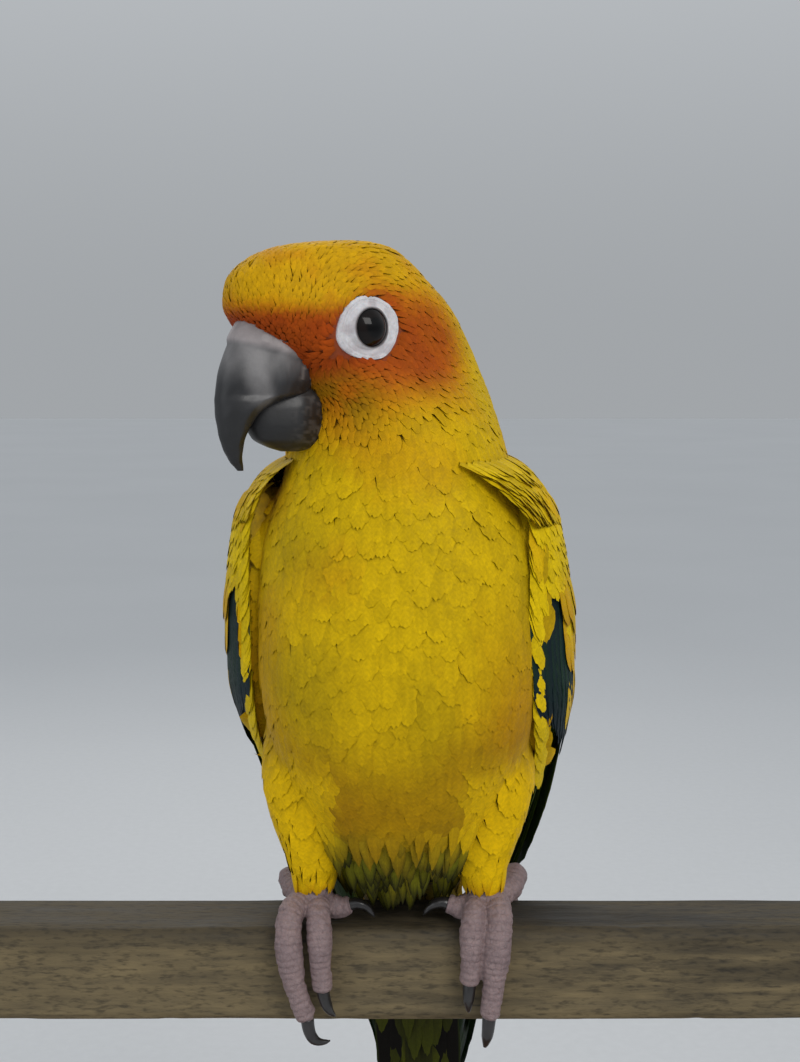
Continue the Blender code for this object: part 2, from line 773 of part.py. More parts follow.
def tail_place(s, side_offset, height):
    """A point of the tail: s runs from its root to its tip, height stands off on its back."""
    root = Vector(TAIL_ROOT)
    tip = Vector(TAIL_TIP)
    ahead = (tip - root).normalized()
    across = turned((1, 0, 0), BODY_YAW)
    across = (across - ahead * across.dot(ahead)).normalized()
    back = ahead.cross(across)
    if back.y < 0:
        back = -back
    return root.lerp(tip, s) + across * side_offset + back * height


def tail_vane(start, end, sides, heights, half, shape):
    """One feather between two places along the tail, with its root's and tip's offset and height."""
    points = []
    outwards = []
    halves = []
    for s, width in shape:
        along = start + (end - start) * s
        sideways = sides[0] + (sides[1] - sides[0]) * s
        height = heights[0] + (heights[1] - heights[0]) * s
        points.append(tail_place(along, sideways, height))
        outwards.append((tail_place(along, sideways, height + 1) - points[-1]).normalized())
        halves.append(half * width)
    return vane("feather", vane_frames(points, outwards, halves, 0), TAIL_VANE_THICKNESS)


def blended(ends, share):
    return ends[0] + (ends[1] - ends[0]) * share


def make_tail():
    """The closed tail: twelve graduated feathers, the middle pair on top, and the coverts round its core."""
    rings = []
    for s in np.linspace(0, TAIL_CORE_END, TAIL_CORE_ROWS):
        fade = s / TAIL_CORE_END
        half = blended(TAIL_CORE_HALF, fade)
        thick = blended(TAIL_CORE_THICK, fade)
        ring = []
        for k in range(TAIL_CORE_SIDES):
            angle = 2 * math.pi * k / TAIL_CORE_SIDES
            ring.append(tail_place(s, half * math.cos(angle), thick * math.sin(angle)))
        rings.append(ring)
    tail = loft("tail", rings, PARTS)
    feathers = []
    for pair, length in enumerate(TAIL_LENGTHS):
        for side in (-1, 1):
            offset = side * (TAIL_PAIR_OFFSET + TAIL_PAIR_STEP * pair)
            drop = TAIL_STACK_TOP - TAIL_STACK_STEP * pair
            if pair == 0:
                offset *= TAIL_MIDDLE_SHARE
                drop += TAIL_STACK_STEP * max(side, 0)
            sides = (offset, offset * TAIL_TAPER)
            feathers.append(
                tail_vane(TAIL_FEATHER_START, length, sides, (drop, drop), TAIL_HALF, MIDDLE_SHAPE)
            )
    for back, end, height in TAIL_COVERTS:
        for place in (-1, 0, 1):
            reach = end - TAIL_COVERT_DROP * abs(place)
            heights = (height / 2, height + back * TAIL_COVERT_LIFT * (1 - abs(place)))
            sides = (TAIL_COVERT_PLACES[0] * place, TAIL_COVERT_PLACES[1] * place)
            feathers.append(
                tail_vane(TAIL_COVERT_START, reach, sides, heights, TAIL_COVERT_HALF, SHORT_SHAPE)
            )
    join_pieces(tail, feathers, "MANIFOLD")
    return tail


def make_thigh(side, name):
    rings = []
    for z in np.linspace(THIGH_STATIONS[0][0], THIGH_STATIONS[-1][0], THIGH_RINGS):
        x, y, half, depth = [table_value(THIGH_STATIONS, z, k) for k in range(1, 5)]
        middle = side * x + (RIGHT_THIGH_SHIFT if side < 0 else 0)
        ring = []
        for k in range(THIGH_SIDES):
            angle = 2 * math.pi * k / THIGH_SIDES
            ring.append(Vector((middle + half * math.cos(angle), y + depth * math.sin(angle), z)))
        rings.append(ring)
    return loft(name, rings, PARTS)


def knuckled(radii, count):
    """Radii along a toe, with a slight swelling at each joint and a drawn-in tip."""
    base = blend_list(radii, count)
    swollen = []
    for i, radius in enumerate(base):
        wave = 1 + KNUCKLE_SWELL * math.cos(4 * math.pi * i / (count - 1))
        swollen.append(radius * wave)
    swollen[-1] *= TOE_END_SHARE
    return swollen


def make_foot(side_name, perch_guard, thigh):
    foot = FEET[side_name]
    node = "foot_" + side_name
    shank_path = smooth_path(foot["shank"], SHANK_RINGS)
    shank = tube(node, shank_path, blend_list(SHANK_RADII, SHANK_RINGS), SHANK_SIDES, PARTS)
    toes = []
    for number, path in enumerate(foot["toes"]):
        radii = knuckled(TOE_RADII[number], TOE_RINGS)
        toes.append(tube(f"toe_{number}", smooth_path(path, TOE_RINGS), radii, TOE_SIDES, CUTTERS))
    join_pieces(shank, toes)
    boolean(shank, perch_guard, "DIFFERENCE")
    cut_clear(shank, thigh)
    claws = []
    for number, path in enumerate(foot["claws"]):
        name = f"claw_{side_name}_{number + 1}"
        radii = blend_list(CLAW_RADII, CLAW_RINGS)
        claw = tube(name, smooth_path(path, CLAW_RINGS), radii, CLAW_SIDES, PARTS)
        boolean(claw, perch_guard, "DIFFERENCE")
        cut_clear(claw, shank)
        claws.append(claw)
    return shank, claws


def bill_half(name, stations):
    """One half of the bill, from level sections in the head's own frame."""
    rings = []
    for z in np.linspace(stations[0][0], stations[-1][0], BILL_RINGS):
        front, back, half = [table_value(stations, z, k) for k in (1, 2, 3)]
        middle = (front + back) / 2
        depth = (front - back) / 2
        ring = []
        for k in range(BILL_SIDES):
            angle = 2 * math.pi * k / BILL_SIDES
            forward = middle + depth * math.cos(angle)
            ridge = 1 - BILL_RIDGE * max(math.cos(angle), 0)
            across = half * ridge * signed_power(math.sin(angle), BILL_ROUNDNESS)
            ring.append(head_point(forward, across, z))
        rings.append(ring)
    return loft(name, rings, PARTS)


def ball(name, centre, radius, collection, segments=14, rows=8):
    bm = bmesh.new()
    bmesh.ops.create_uvsphere(bm, u_segments=segments, v_segments=rows, radius=radius * MM)
    bmesh.ops.translate(bm, vec=lift(centre), verts=bm.verts)
    return object_from_bmesh(name, bm, collection)


def make_eye(side, name):
    return ball(name, head_point(EYE_FORWARD, side * EYE_SIDE, EYE_HEIGHT), EYE_RADIUS, PARTS)


def make_lid(side, name):
    """The rim of the lids: a thin ring round the eye's cup."""
    centre = head_point(EYE_FORWARD, side * EYE_SIDE, EYE_HEIGHT)
    outward = (head_point(EYE_FORWARD, side * (EYE_SIDE + 1), EYE_HEIGHT) - centre).normalized()
    sideways = outward.cross(Vector((0, 0, 1))).normalized()
    upward = sideways.cross(outward)
    reach = math.sqrt(EYE_RADIUS**2 - LID_RADIUS**2)
    bm = bmesh.new()
    loops = []
    for i in range(LID_SEGMENTS):
        around = 2 * math.pi * i / LID_SEGMENTS
        spoke = sideways * math.cos(around) + upward * math.sin(around)
        middle = centre + outward * reach + spoke * LID_RADIUS
        loop = []
        for k in range(LID_SIDES):
            angle = 2 * math.pi * k / LID_SIDES
            offset = spoke * math.cos(angle) + outward * math.sin(angle)
            loop.append(bm.verts.new(lift(middle + offset * LID_TUBE)))
        loops.append(loop)
    for i in range(LID_SEGMENTS):
        here = loops[i]
        following = loops[(i + 1) % LID_SEGMENTS]
        for k in range(LID_SIDES):
            after = (k + 1) % LID_SIDES
            bm.faces.new((here[k], here[after], following[after], following[k]))
    return object_from_bmesh(name, bm, CUTTERS)


def make_rod(side, name):
    """An upright rod from the base to the underside of the perch."""
    height = PERCH_TOP - BASE_HEIGHT - PERCH_SIDE - 2 * GAP
    bm = bmesh.new()
    radius = ROD_RADIUS * MM
    bmesh.ops.create_cone(
        bm, cap_ends=True, segments=ROD_SIDES, radius1=radius, radius2=radius, depth=height * MM
    )
    middle = Vector((side * ROD_PLACE, 0, -PERCH_SIDE - GAP - height / 2))
    bmesh.ops.translate(bm, vec=lift(middle), verts=bm.verts)
    return object_from_bmesh(name, bm, PARTS)


def set_material(slot, *objects):
    colour, roughness = MATERIALS[slot]
    for obj in objects:
        metallic = 1.0 if slot == "rod_metal" else 0.0
        obj.data.materials.clear()
        obj.data.materials.append(new_material(f"{slot}_{obj.name}", colour, roughness, metallic))
        obj.data.shade_smooth()
        obj.data.set_sharp_from_angle(angle=math.radians(SHARP_ANGLE))


def clear_scene():
    for obj in list(bpy.data.objects):
        bpy.data.objects.remove(obj, do_unlink=True)


def new_collection(name):
    collection = bpy.data.collections.new(name)
    bpy.context.scene.collection.children.link(collection)
    return collection


clear_scene()
PARTS = new_collection("sun_conure")
CUTTERS = new_collection("cutters")

perch = box("perch", (0, 0, -PERCH_SIDE / 2), (PERCH_LENGTH, PERCH_SIDE, PERCH_SIDE), PARTS, PERCH_EDGE)
perch_guard = grown(perch)
base_middle = (0, -PERCH_BACK_SHIFT, BASE_HEIGHT / 2 - PERCH_TOP)
stand_base = box("stand_base", base_middle, (BASE_LENGTH, BASE_WIDTH, BASE_HEIGHT), PARTS, BASE_EDGE)
rods = [make_rod(side, name) for side, name in ((1, "stand_rod_left"), (-1, "stand_rod_right"))]

body = make_body()
thighs = {"left": make_thigh(1, "thigh_left"), "right": make_thigh(-1, "thigh_right")}
torso = body_between(body, "torso", TAIL_PLANE, NECK_PLANE)
cut_clear(torso, thighs["left"], thighs["right"])
neck = body_between(body, "neck", NECK_PLANE, HEAD_PLANE)
head = body_between(body, "head", HEAD_PLANE, None)

bill_upper = bill_half("bill_upper", UPPER_BILL)
bill_lower = bill_half("bill_lower", LOWER_BILL)
cut_clear(bill_upper, body)
for side in (1, -1):
    forward, sideways, height = NOSTRIL_PLACE
    pit = ball("nostril", head_point(forward, side * sideways, height), NOSTRIL_RADIUS, CUTTERS, 10, 6)
    boolean(bill_upper, pit, "DIFFERENCE")
    remove(pit)
cut_clear(bill_lower, body, bill_upper)

eyes = {"left": make_eye(1, "eye_left"), "right": make_eye(-1, "eye_right")}
join_pieces(head, [make_lid(1, "lid_left"), make_lid(-1, "lid_right")])
cut_clear(head, *eyes.values())

wings = {"left": make_wing(1, "wing_left"), "right": make_wing(-1, "wing_right")}
for wing in wings.values():
    cut_clear(wing, body, *thighs.values())

tail = make_tail()
cut_clear(tail, torso)

feet = []
claws = []
for side_name in ("left", "right"):
    foot, foot_claws = make_foot(side_name, perch_guard, thighs[side_name])
    feet.append(foot)
    claws += foot_claws

remove(body, perch_guard)

set_material("plumage_orange", head)
set_material("plumage_yellow", neck, torso, *thighs.values())
set_material("plumage_wing", *wings.values())
set_material("plumage_tail", tail)
set_material("bill_horn", bill_upper, bill_lower)
set_material("eye_dark", *eyes.values())
set_material("foot_skin", *feet)
set_material("claw_horn", *claws)
set_material("perch_wood", perch)
set_material("base_wood", stand_base)
set_material("rod_metal", *rods)
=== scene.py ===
import math

import bmesh
import bpy
import numpy as np
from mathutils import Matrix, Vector
from mathutils.bvhtree import BVHTree
from mathutils.kdtree import KDTree


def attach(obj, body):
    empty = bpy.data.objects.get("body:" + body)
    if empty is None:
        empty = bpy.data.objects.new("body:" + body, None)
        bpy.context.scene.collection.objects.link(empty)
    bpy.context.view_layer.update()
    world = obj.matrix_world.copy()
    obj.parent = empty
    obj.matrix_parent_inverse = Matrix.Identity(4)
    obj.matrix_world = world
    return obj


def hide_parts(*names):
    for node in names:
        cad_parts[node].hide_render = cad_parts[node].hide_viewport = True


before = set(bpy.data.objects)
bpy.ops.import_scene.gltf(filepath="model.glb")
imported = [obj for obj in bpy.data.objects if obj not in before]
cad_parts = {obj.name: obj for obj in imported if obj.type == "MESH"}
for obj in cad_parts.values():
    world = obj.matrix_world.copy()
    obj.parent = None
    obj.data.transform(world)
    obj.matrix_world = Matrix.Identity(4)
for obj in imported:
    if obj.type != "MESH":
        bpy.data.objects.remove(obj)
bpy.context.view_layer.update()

# All lengths are in millimetres in the perch frame: x to the bird's left, y away from its front,
# z up, zero at the middle of the perch's top face. lift() turns them into the model's metres.
MM = 0.001
PERCH_BACK_SHIFT = -10.0
PERCH_TOP = 137.0
BODY_YAW = -8.0
HEAD_YAW = -52.0
SEED = 11

CAMERA_DISTANCE = 285.0
CAMERA_HEIGHT = 105.7
CAMERA_PITCH = 6.4
CAMERA_LENS = 52.0
SENSOR_HEIGHT = 36.0

# Body stations from the crown down: height, middle x and y, yaw, reach forward, reach back,
# half width and the power of the section's curve
BODY_STATIONS = (
    (126.6, -9.5, -8.5, 52, 6, 5, 4.5, 2.0),
    (125.6, -9, -7.8, 52, 14, 7.5, 7.6, 2.1),
    (123, -9, -7, 52, 21, 10.8, 10.6, 2.2),
    (119, -9, -7, 52, 25, 15.6, 12.8, 2.2),
    (115, -9, -7, 52, 25.4, 20.4, 13.8, 2.2),
    (111, -9, -7, 52, 22.8, 23.4, 14.2, 2.2),
    (107, -8.2, -6.6, 51, 18.6, 25, 14.6, 2.2),
    (103, -6.8, -6, 48, 15.4, 25.5, 15.6, 2.2),
    (98, -4, -5, 42, 15.2, 23.7, 18, 2.2),
    (92, -1.8, -4.5, 33, 17.6, 21.5, 20, 2.2),
    (87, -0.3, -4, 26, 20.3, 19.2, 20.8, 2.2),
    (82, 0.3, -3.8, 18, 22.5, 19.8, 22.6, 2.2),
    (77, 0.5, -3.4, 12, 24.3, 21.5, 24.8, 2.2),
    (70, 0.5, -3, 8, 26, 23.4, 26.2, 2.2),
    (62, 0.5, -3, 8, 27, 24.6, 26.9, 2.2),
    (52, 0.5, -3, 8, 27.2, 25.4, 27, 2.2),
    (41, 0.5, -2, 8, 27, 25.6, 26, 2.2),
    (30, 0.5, 1, 8, 26, 22.8, 23.4, 2.2),
    (20, 0.7, 5, 8, 24.5, 19, 19.4, 2.2),
    (12, 1.2, 10, 8, 21.5, 15.6, 16, 2.1),
    (5.5, 1.8, 15.5, 8, 15.5, 10.6, 13.2, 2.1),
    (1, 2.2, 18.5, 8, 9, 7.8, 11.6, 2.1),
    (-4, 2.6, 20, 8, 7.8, 6.6, 10.8, 2.1),
    (-12, 3, 21.5, 8, 7, 5.6, 10.2, 2.1),
    (-20, 3.4, 23, 8, 6, 4.6, 9.4, 2.1),
)
BODY_BOTTOM = -16.0
BODY_AROUND = 96

# Left wing stations from the shoulder down, in the bird's own frame: height, then x and y of the
# front edge, of the curve's control point and of the back edge
WING_STATIONS = (
    (84.5, 22, -9.5, 27, -7, 20.5, 0),
    (81, 24.6, -12.5, 33.6, -5, 18.5, 8.4),
    (75, 25.8, -14.5, 36.8, -3.5, 16.5, 16),
    (67, 26, -15, 40.6, -1.5, 13, 22.6),
    (57, 26, -14.2, 43.8, 2, 9.2, 27.6),
    (47, 26.4, -12, 44.2, 5.5, 6.4, 30.2),
    (37, 26.8, -6, 40, 10.5, 4.2, 31.6),
    (26, 25.8, 3, 34.8, 16, 3.2, 32.2),
    (11, 22, 14, 28.4, 23, 2.6, 33.2),
    (-2, 18, 19.8, 23, 28.4, 2.4, 34.6),
    (-16, 15, 25.4, 18.8, 32.2, 2.4, 36.4),
    (-30, 12.4, 29.8, 15.4, 35, 2.6, 38.4),
    (-42, 10.2, 34, 12.2, 37.8, 2.8, 40.2),
    (-53, 8.4, 37.6, 9.6, 40, 3, 41.6),
)
WING_SKIN_END = 29.0
WING_SKIN_DEPTH = 1.0
WING_SKIN_BACK = 0.88
WING_SKIN_THICK = 3.6

# Left thigh stations from its top down: height, middle x and y, half width and half depth
THIGH_STATIONS = (
    (40.0, 17.2, -3.0, 5.0, 6.0),
    (36.0, 17.6, -4.0, 7.2, 8.6),
    (28.0, 17.8, -5.0, 7.4, 9.2),
    (20.0, 17.2, -5.0, 6.6, 8.0),
    (14.0, 15.8, -4.6, 5.8, 6.6),
    (9.6, 15.4, -4.4, 4.8, 5.4),
    (7.6, 15.4, -4.4, 4.0, 4.6),
)
RIGHT_THIGH_SHIFT = -0.6

TAIL_ROOT = (3.2, 22.5, -12.3)
TAIL_TIP = (7.5, 42.0, -119.0)
TAIL_CORE_END = 0.26

# The eye in the head's own frame: forward, to the side, height; and the bare ring round it
EYE_FORWARD = 5.6
EYE_SIDE = 10.7
EYE_HEIGHT = 111.0
EYE_RADIUS = 4.6
RING_LENGTH = 5.7
RING_HEIGHT = 5.1
RING_TILT = 20.0
RING_POWER = 1.8
RING_MARGIN = 0.45
LID_OPENING = 3.25

# Bill stations from the top down, in the head's own frame: height, reach forward, reach back, half width
UPPER_BILL = (
    (112.0, 23.0, 12.0, 4.4),
    (109.5, 24.6, 10.0, 5.2),
    (106.0, 26.2, 9.0, 5.8),
    (102.5, 27.4, 9.0, 6.0),
    (99.8, 27.8, 10.0, 5.6),
    (98.6, 27.9, 16.0, 5.1),
    (96.5, 27.8, 20.4, 4.3),
    (94.0, 27.5, 22.2, 3.3),
    (91.5, 27.0, 23.2, 2.4),
    (89.5, 26.2, 23.4, 1.7),
    (88.0, 25.3, 23.2, 1.1),
    (86.6, 24.0, 22.9, 0.5),
)
LOWER_BILL = (
    (100.5, 18.5, 8.0, 4.0),
    (99.0, 20.0, 7.0, 4.9),
    (97.0, 21.2, 6.5, 5.3),
    (94.5, 21.8, 6.5, 5.3),
    (92.0, 20.6, 7.0, 4.7),
    (90.4, 17.6, 8.5, 3.4),
    (89.6, 15.0, 11.0, 1.6),
)
BILL_RIDGE = 0.3
NOSTRIL_PLACE = (21.2, 4.9, 109.2)

# Feet: for each, the middle line of the shank, of the four toes and of the four claws
FEET = {
    "left": {
        "shank": ((14.8, -3.6, 14.0), (15.2, -4.2, 9.0), (16.2, -4.8, 4.6)),
        "toes": (
            ((14.2, -4.6, 3.8), (11.4, -5.6, 3.0), (8.8, -5.2, 3.6)),
            ((15.0, -4.0, 3.9), (13.8, -9.6, 3.2), (13.3, -12.0, -1.6), (13.1, -12.0, -6.0),
             (12.8, -11.8, -10.0)),
            ((17.2, -3.6, 4.0), (18.4, -9.6, 3.4), (18.1, -12.2, -0.8), (17.6, -12.2, -7.0),
             (17.0, -12.1, -12.2), (16.5, -11.8, -16.8)),
            ((18.0, -2.4, 4.0), (21.2, 1.0, 4.6), (22.4, 6.4, 5.0), (22.2, 11.6, 1.4),
             (21.4, 12.4, -4.6)),
        ),
        "claws": (
            ((9.4, -5.2, 3.4), (6.6, -5.4, 3.6), (4.4, -5.6, 1.4)),
            ((12.9, -11.9, -9.2), (12.7, -12.4, -12.2), (12.8, -11.6, -15.0)),
            ((16.6, -11.9, -15.8), (16.2, -12.2, -19.4), (15.9, -10.2, -22.4)),
            ((21.5, 12.4, -3.8), (21.0, 12.6, -7.4), (20.6, 11.0, -10.4)),
        ),
    },
    "right": {
        "shank": ((-14.4, -3.6, 14.0), (-15.0, -4.2, 9.0), (-17.0, -4.8, 4.6)),
        "toes": (
            ((-15.0, -4.6, 3.8), (-11.8, -5.0, 2.9), (-9.0, -5.2, 3.4)),
            ((-15.6, -4.0, 3.9), (-15.2, -9.6, 3.2), (-14.8, -12.0, -1.6), (-14.7, -12.0, -6.4),
             (-14.2, -11.8, -11.4)),
            ((-17.4, -3.6, 4.0), (-20.2, -9.6, 3.4), (-20.6, -12.2, -0.8), (-20.0, -12.2, -7.0),
             (-18.6, -12.1, -12.4), (-16.8, -11.8, -17.0)),
            ((-17.6, -2.4, 4.0), (-20.4, 1.6, 4.2), (-21.4, 6.8, 4.2), (-21.2, 11.6, 1.0),
             (-20.4, 12.4, -4.8)),
        ),
        "claws": (
            ((-9.6, -5.2, 3.3), (-7.0, -5.4, 3.4), (-4.8, -5.8, 1.2)),
            ((-14.3, -11.9, -10.6), (-13.4, -12.4, -13.6), (-12.0, -11.8, -15.6)),
            ((-17.2, -11.9, -16.2), (-16.0, -12.4, -19.8), (-13.0, -11.8, -20.4)),
            ((-20.5, 12.4, -4.0), (-20.0, 12.6, -7.6), (-19.6, 11.0, -10.6)),
        ),
    },
}
SHANK_RADII = (2.6, 3.0, 3.5)
TOE_RADII = (
    (3.0, 2.6, 2.3, 1.9),
    (2.9, 2.6, 2.4, 2.0),
    (3.1, 2.8, 2.5, 2.0),
    (3.0, 2.7, 2.4, 1.9),
)
CLAW_RADII = (1.35, 1.1, 0.3)
PERCH_SIDE = 18.4
PERCH_LENGTH = 190.0
PERCH_EDGE = 2.6

# Named colours, as shown on a screen
COLOURS = {
    "yellow": (0.80, 0.66, 0.010),
    "thigh": (0.88, 0.71, 0.010),
    # olive, painted as shade on the lower breast and under the bill
    "olive_shade": (0.50, 0.44, 0.02),
    "crown": (0.82, 0.63, 0.015),
    "orange": (0.76, 0.38, 0.03),
    "red": (0.60, 0.19, 0.05),
    "belly": (0.68, 0.46, 0.012),
    # deeper orange with painted shade, for the belly between the thighs
    "belly_low_orange_and_shade": (0.52, 0.32, 0.012),
    "vent": (0.45, 0.44, 0.07),
    # near-black painted shade low between the legs, over the vent
    "vent_shade": (0.07, 0.072, 0.03),
    "mantle": (0.78, 0.52, 0.025),
    "covert": (0.86, 0.73, 0.02),
    "green": (0.17, 0.29, 0.10),
    "green_edge": (0.56, 0.60, 0.10),
    "blue": (0.06, 0.13, 0.16),
    "tail_green": (0.19, 0.23, 0.09),
    "tail_blue": (0.08, 0.12, 0.18),
    # dark underside of the tail, deepened with painted shade
    "tail_under_dark_and_shade": (0.065, 0.06, 0.05),
    "grey_root": (0.55, 0.50, 0.36),
}


def linear(colour):
    """A screen colour as the linear light the shaders work in."""
    colour = np.asarray(colour, float)
    return np.where(colour <= 0.04045, colour / 12.92, ((colour + 0.055) / 1.055) ** 2.4)


TINTS = {name: linear(colour) for name, colour in COLOURS.items()}


def smooth_step(low, high, value):
    t = np.clip((value - low) / (high - low), 0, 1)
    return t * t * (3 - 2 * t)


def mixed(first, second, share):
    share = np.asarray(share)[..., None]
    return first * (1 - share) + second * share


def unit(vectors):
    return vectors / np.maximum(np.linalg.norm(vectors, axis=-1, keepdims=True), 1e-9)


def dots(a, b):
    return (a * b).sum(axis=-1)


def signed_power(value, power):
    return np.sign(value) * np.abs(value) ** power


def turned(points, yaw):
    """Points turned about the vertical by yaw degrees, which may differ from point to point."""
    points = np.asarray(points, float)
    c = np.cos(np.radians(yaw))
    s = np.sin(np.radians(yaw))
    x, y, z = points[..., 0], points[..., 1], points[..., 2]
    return np.stack([c * x - s * y, s * x + c * y, z], axis=-1)


def lift(points):
    """Perch frame in millimetres to the model's frame in metres."""
    return (np.asarray(points, float) + (0.0, PERCH_BACK_SHIFT, PERCH_TOP)) * MM


class Table:
    """A table read smoothly at any height, never overshooting between its rows."""

    def __init__(self, rows):
        data = np.array(sorted(rows), float)
        self.at = data[:, 0]
        self.values = data[:, 1:]
        steps = np.diff(self.values, axis=0) / np.diff(self.at)[:, None]
        left = steps[:-1]
        right = steps[1:]
        together = np.where(left * right > 0, 2 * left * right, 0)
        inner = together / np.where(left + right == 0, 1, left + right)
        self.slopes = np.concatenate([steps[:1], inner, steps[-1:]])

    def read(self, at):
        at = np.clip(np.asarray(at, float), self.at[0], self.at[-1])
        i = np.clip(np.searchsorted(self.at, at) - 1, 0, len(self.at) - 2)
        span = (self.at[i + 1] - self.at[i])[..., None]
        t = (at - self.at[i])[..., None] / span
        start, end = self.values[i], self.values[i + 1]
        before, after = self.slopes[i] * span, self.slopes[i + 1] * span
        cube = 2 * start - 2 * end + before + after
        square = 3 * end - 3 * start - 2 * before - after
        return ((cube * t + square) * t + before) * t + start


BODY = Table(BODY_STATIONS)
WING = Table(WING_STATIONS)
THIGH = Table(THIGH_STATIONS)


def lattice_noise(points, size, seed=0):
    """Smooth noise from 0 to 1, with features about size across."""
    p = np.asarray(points, float) / size + seed * 17.3
    cell = np.floor(p).astype(np.int64)
    f = p - cell
    f = f * f * (3 - 2 * f)
    total = np.zeros(len(p))
    for corner in range(8):
        step = np.array([(corner >> k) & 1 for k in range(3)])
        c = cell + step
        h = (c[:, 0] * 73856093) ^ (c[:, 1] * 19349663) ^ (c[:, 2] * 83492791)
        h = (h ^ (h >> 13)) * 1274126177
        value = ((h ^ (h >> 16)) & 65535) / 65535.0
        weight = np.prod(np.where(step == 1, f, 1 - f), axis=1)
        total += weight * value
    return total


# The head turns about its middle at the height of the eyes.
HEAD_AXIS = np.array([*BODY_STATIONS[5][1:3], 0.0])


def head_frame(points):
    """Perch-frame points as the head sees them: forward, to its left, height."""
    local = turned(np.asarray(points, float) - HEAD_AXIS, -HEAD_YAW)
    return np.stack([-local[..., 1], local[..., 0], local[..., 2]], axis=-1)


def head_point(forward, side, height):
    forward, side, height = np.broadcast_arrays(
        np.asarray(forward, float), np.asarray(side, float), np.asarray(height, float)
    )
    return turned(np.stack([side, -forward, height], axis=-1), HEAD_YAW) + HEAD_AXIS


def head_direction(forward, side, height):
    return turned(np.array([side, -forward, height], float), HEAD_YAW)


def body_points(z, angle):
    """Points of the body's outline; the angle starts at its front and goes round past its left side."""
    z, angle = np.broadcast_arrays(np.asarray(z, float), np.asarray(angle, float))
    x, y, yaw, front, back, half, power = np.moveaxis(BODY.read(z), -1, 0)
    along = signed_power(np.cos(angle), 2 / power)
    across = signed_power(np.sin(angle), 2 / power)
    reach = np.where(along > 0, front, back)
    local = np.stack([half * across, -reach * along, np.zeros_like(z)], axis=-1)
    return turned(local, -yaw) + np.stack([x, y, z], axis=-1)


def wing_surface(z, t):
    """The left wing's outer surface in the bird's own frame: t runs from its front to its back edge."""
    z, t = np.broadcast_arrays(np.asarray(z, float), np.asarray(t, float))
    fx, fy, cx, cy, bx, by = np.moveaxis(WING.read(z), -1, 0)
    u = 1 - t
    x = u * u * fx + 2 * u * t * cx + t * t * bx
    y = u * u * fy + 2 * u * t * cy + t * t * by
    return np.stack([x, y, z], axis=-1)


def wing_normal(z, t):
    along = wing_surface(np.asarray(z) - 1.0, t) - wing_surface(np.asarray(z) + 1.0, t)
    across = wing_surface(z, np.minimum(np.asarray(t) + 0.02, 1)) - wing_surface(
        z, np.maximum(np.asarray(t) - 0.02, 0)
    )
    return -unit(np.cross(across, along))


def wing_point(side, z, t, height):
    """A point at a height over the wing, in the perch frame; side is 1 for left, -1 for right."""
    height = np.asarray(height, float)
    point = wing_surface(z, t) + wing_normal(z, t) * height[..., None]
    point = point * np.array([side, 1.0, 1.0])
    return turned(point, BODY_YAW)


def wing_outward(side, z, t):
    return turned(wing_normal(z, t) * np.array([side, 1.0, 1.0]), BODY_YAW)


def tail_axes():
    ahead = unit(np.subtract(TAIL_TIP, TAIL_ROOT))
    across = turned((1, 0, 0), BODY_YAW)
    across = unit(across - ahead * dots(across, ahead))
    back = np.cross(ahead, across)
    return ahead, across, back if back[1] > 0 else -back


def tail_place(s, side_offset, height):
    """A point of the tail: s runs from its root to its tip, height stands off on its back."""
    _, across, back = tail_axes()
    s, side_offset, height = np.broadcast_arrays(
        np.asarray(s, float), np.asarray(side_offset, float), np.asarray(height, float)
    )
    middle = np.asarray(TAIL_ROOT) + np.subtract(TAIL_TIP, TAIL_ROOT) * s[..., None]
    return middle + across * side_offset[..., None] + back * height[..., None]


def linked(name, data):
    """A new object of the scene with this mesh, light or camera."""
    obj = bpy.data.objects.new(name, data)
    bpy.context.scene.collection.objects.link(obj)
    return obj


def mesh_object(name, points, faces):
    """A smooth mesh object from points in the perch frame."""
    mesh = bpy.data.meshes.new(name)
    mesh.from_pydata(lift(points).tolist(), [], [list(map(int, face)) for face in faces])
    mesh.update()
    mesh.polygons.foreach_set("use_smooth", np.ones(len(mesh.polygons), bool))
    return linked(name, mesh)


def ring_faces(rings, around, closed_ends=True):
    """Faces of a closed loft whose rings of points follow one another."""
    faces = []
    for i in range(rings - 1):
        for k in range(around):
            after = (k + 1) % around
            a, b = i * around + k, i * around + after
            faces.append((a, b, b + around, a + around))
    if closed_ends:
        faces.append(tuple(reversed(range(around))))
        faces.append(tuple(range((rings - 1) * around, rings * around)))
    return faces


def face_outward(mesh):
    """Turns the faces of a mesh to look outwards."""
    bm = bmesh.new()
    bm.from_mesh(mesh)
    bmesh.ops.recalc_face_normals(bm, faces=bm.faces)
    bm.to_mesh(mesh)
    bm.free()


def loft(name, rings):
    """A closed surface through rings of points, each an array of the same length."""
    rings = np.asarray(rings, float)
    obj = mesh_object(name, rings.reshape(-1, 3), ring_faces(len(rings), rings.shape[1]))
    face_outward(obj.data)
    return obj


def smooth_path(points, count):
    """Evenly spaced points on a smooth curve through the given ones."""
    points = np.asarray(points, float)
    ends = np.vstack([2 * points[0] - points[1], points, 2 * points[-1] - points[-2]])
    fine = []
    for i in range(len(points) - 1):
        a, b, c, d = ends[i : i + 4]
        for t in np.linspace(0, 1, 24, endpoint=False):
            fine.append(
                0.5 * (2 * b + (c - a) * t + (2 * a - 5 * b + 4 * c - d) * t**2
                       + (3 * b - a - 3 * c + d) * t**3)
            )
    fine = np.array(fine + [points[-1]])
    gone = np.concatenate([[0], np.cumsum(np.linalg.norm(np.diff(fine, axis=0), axis=1))])
    wanted = np.linspace(0, gone[-1], count)
    return np.stack([np.interp(wanted, gone, fine[:, k]) for k in range(3)], axis=1)


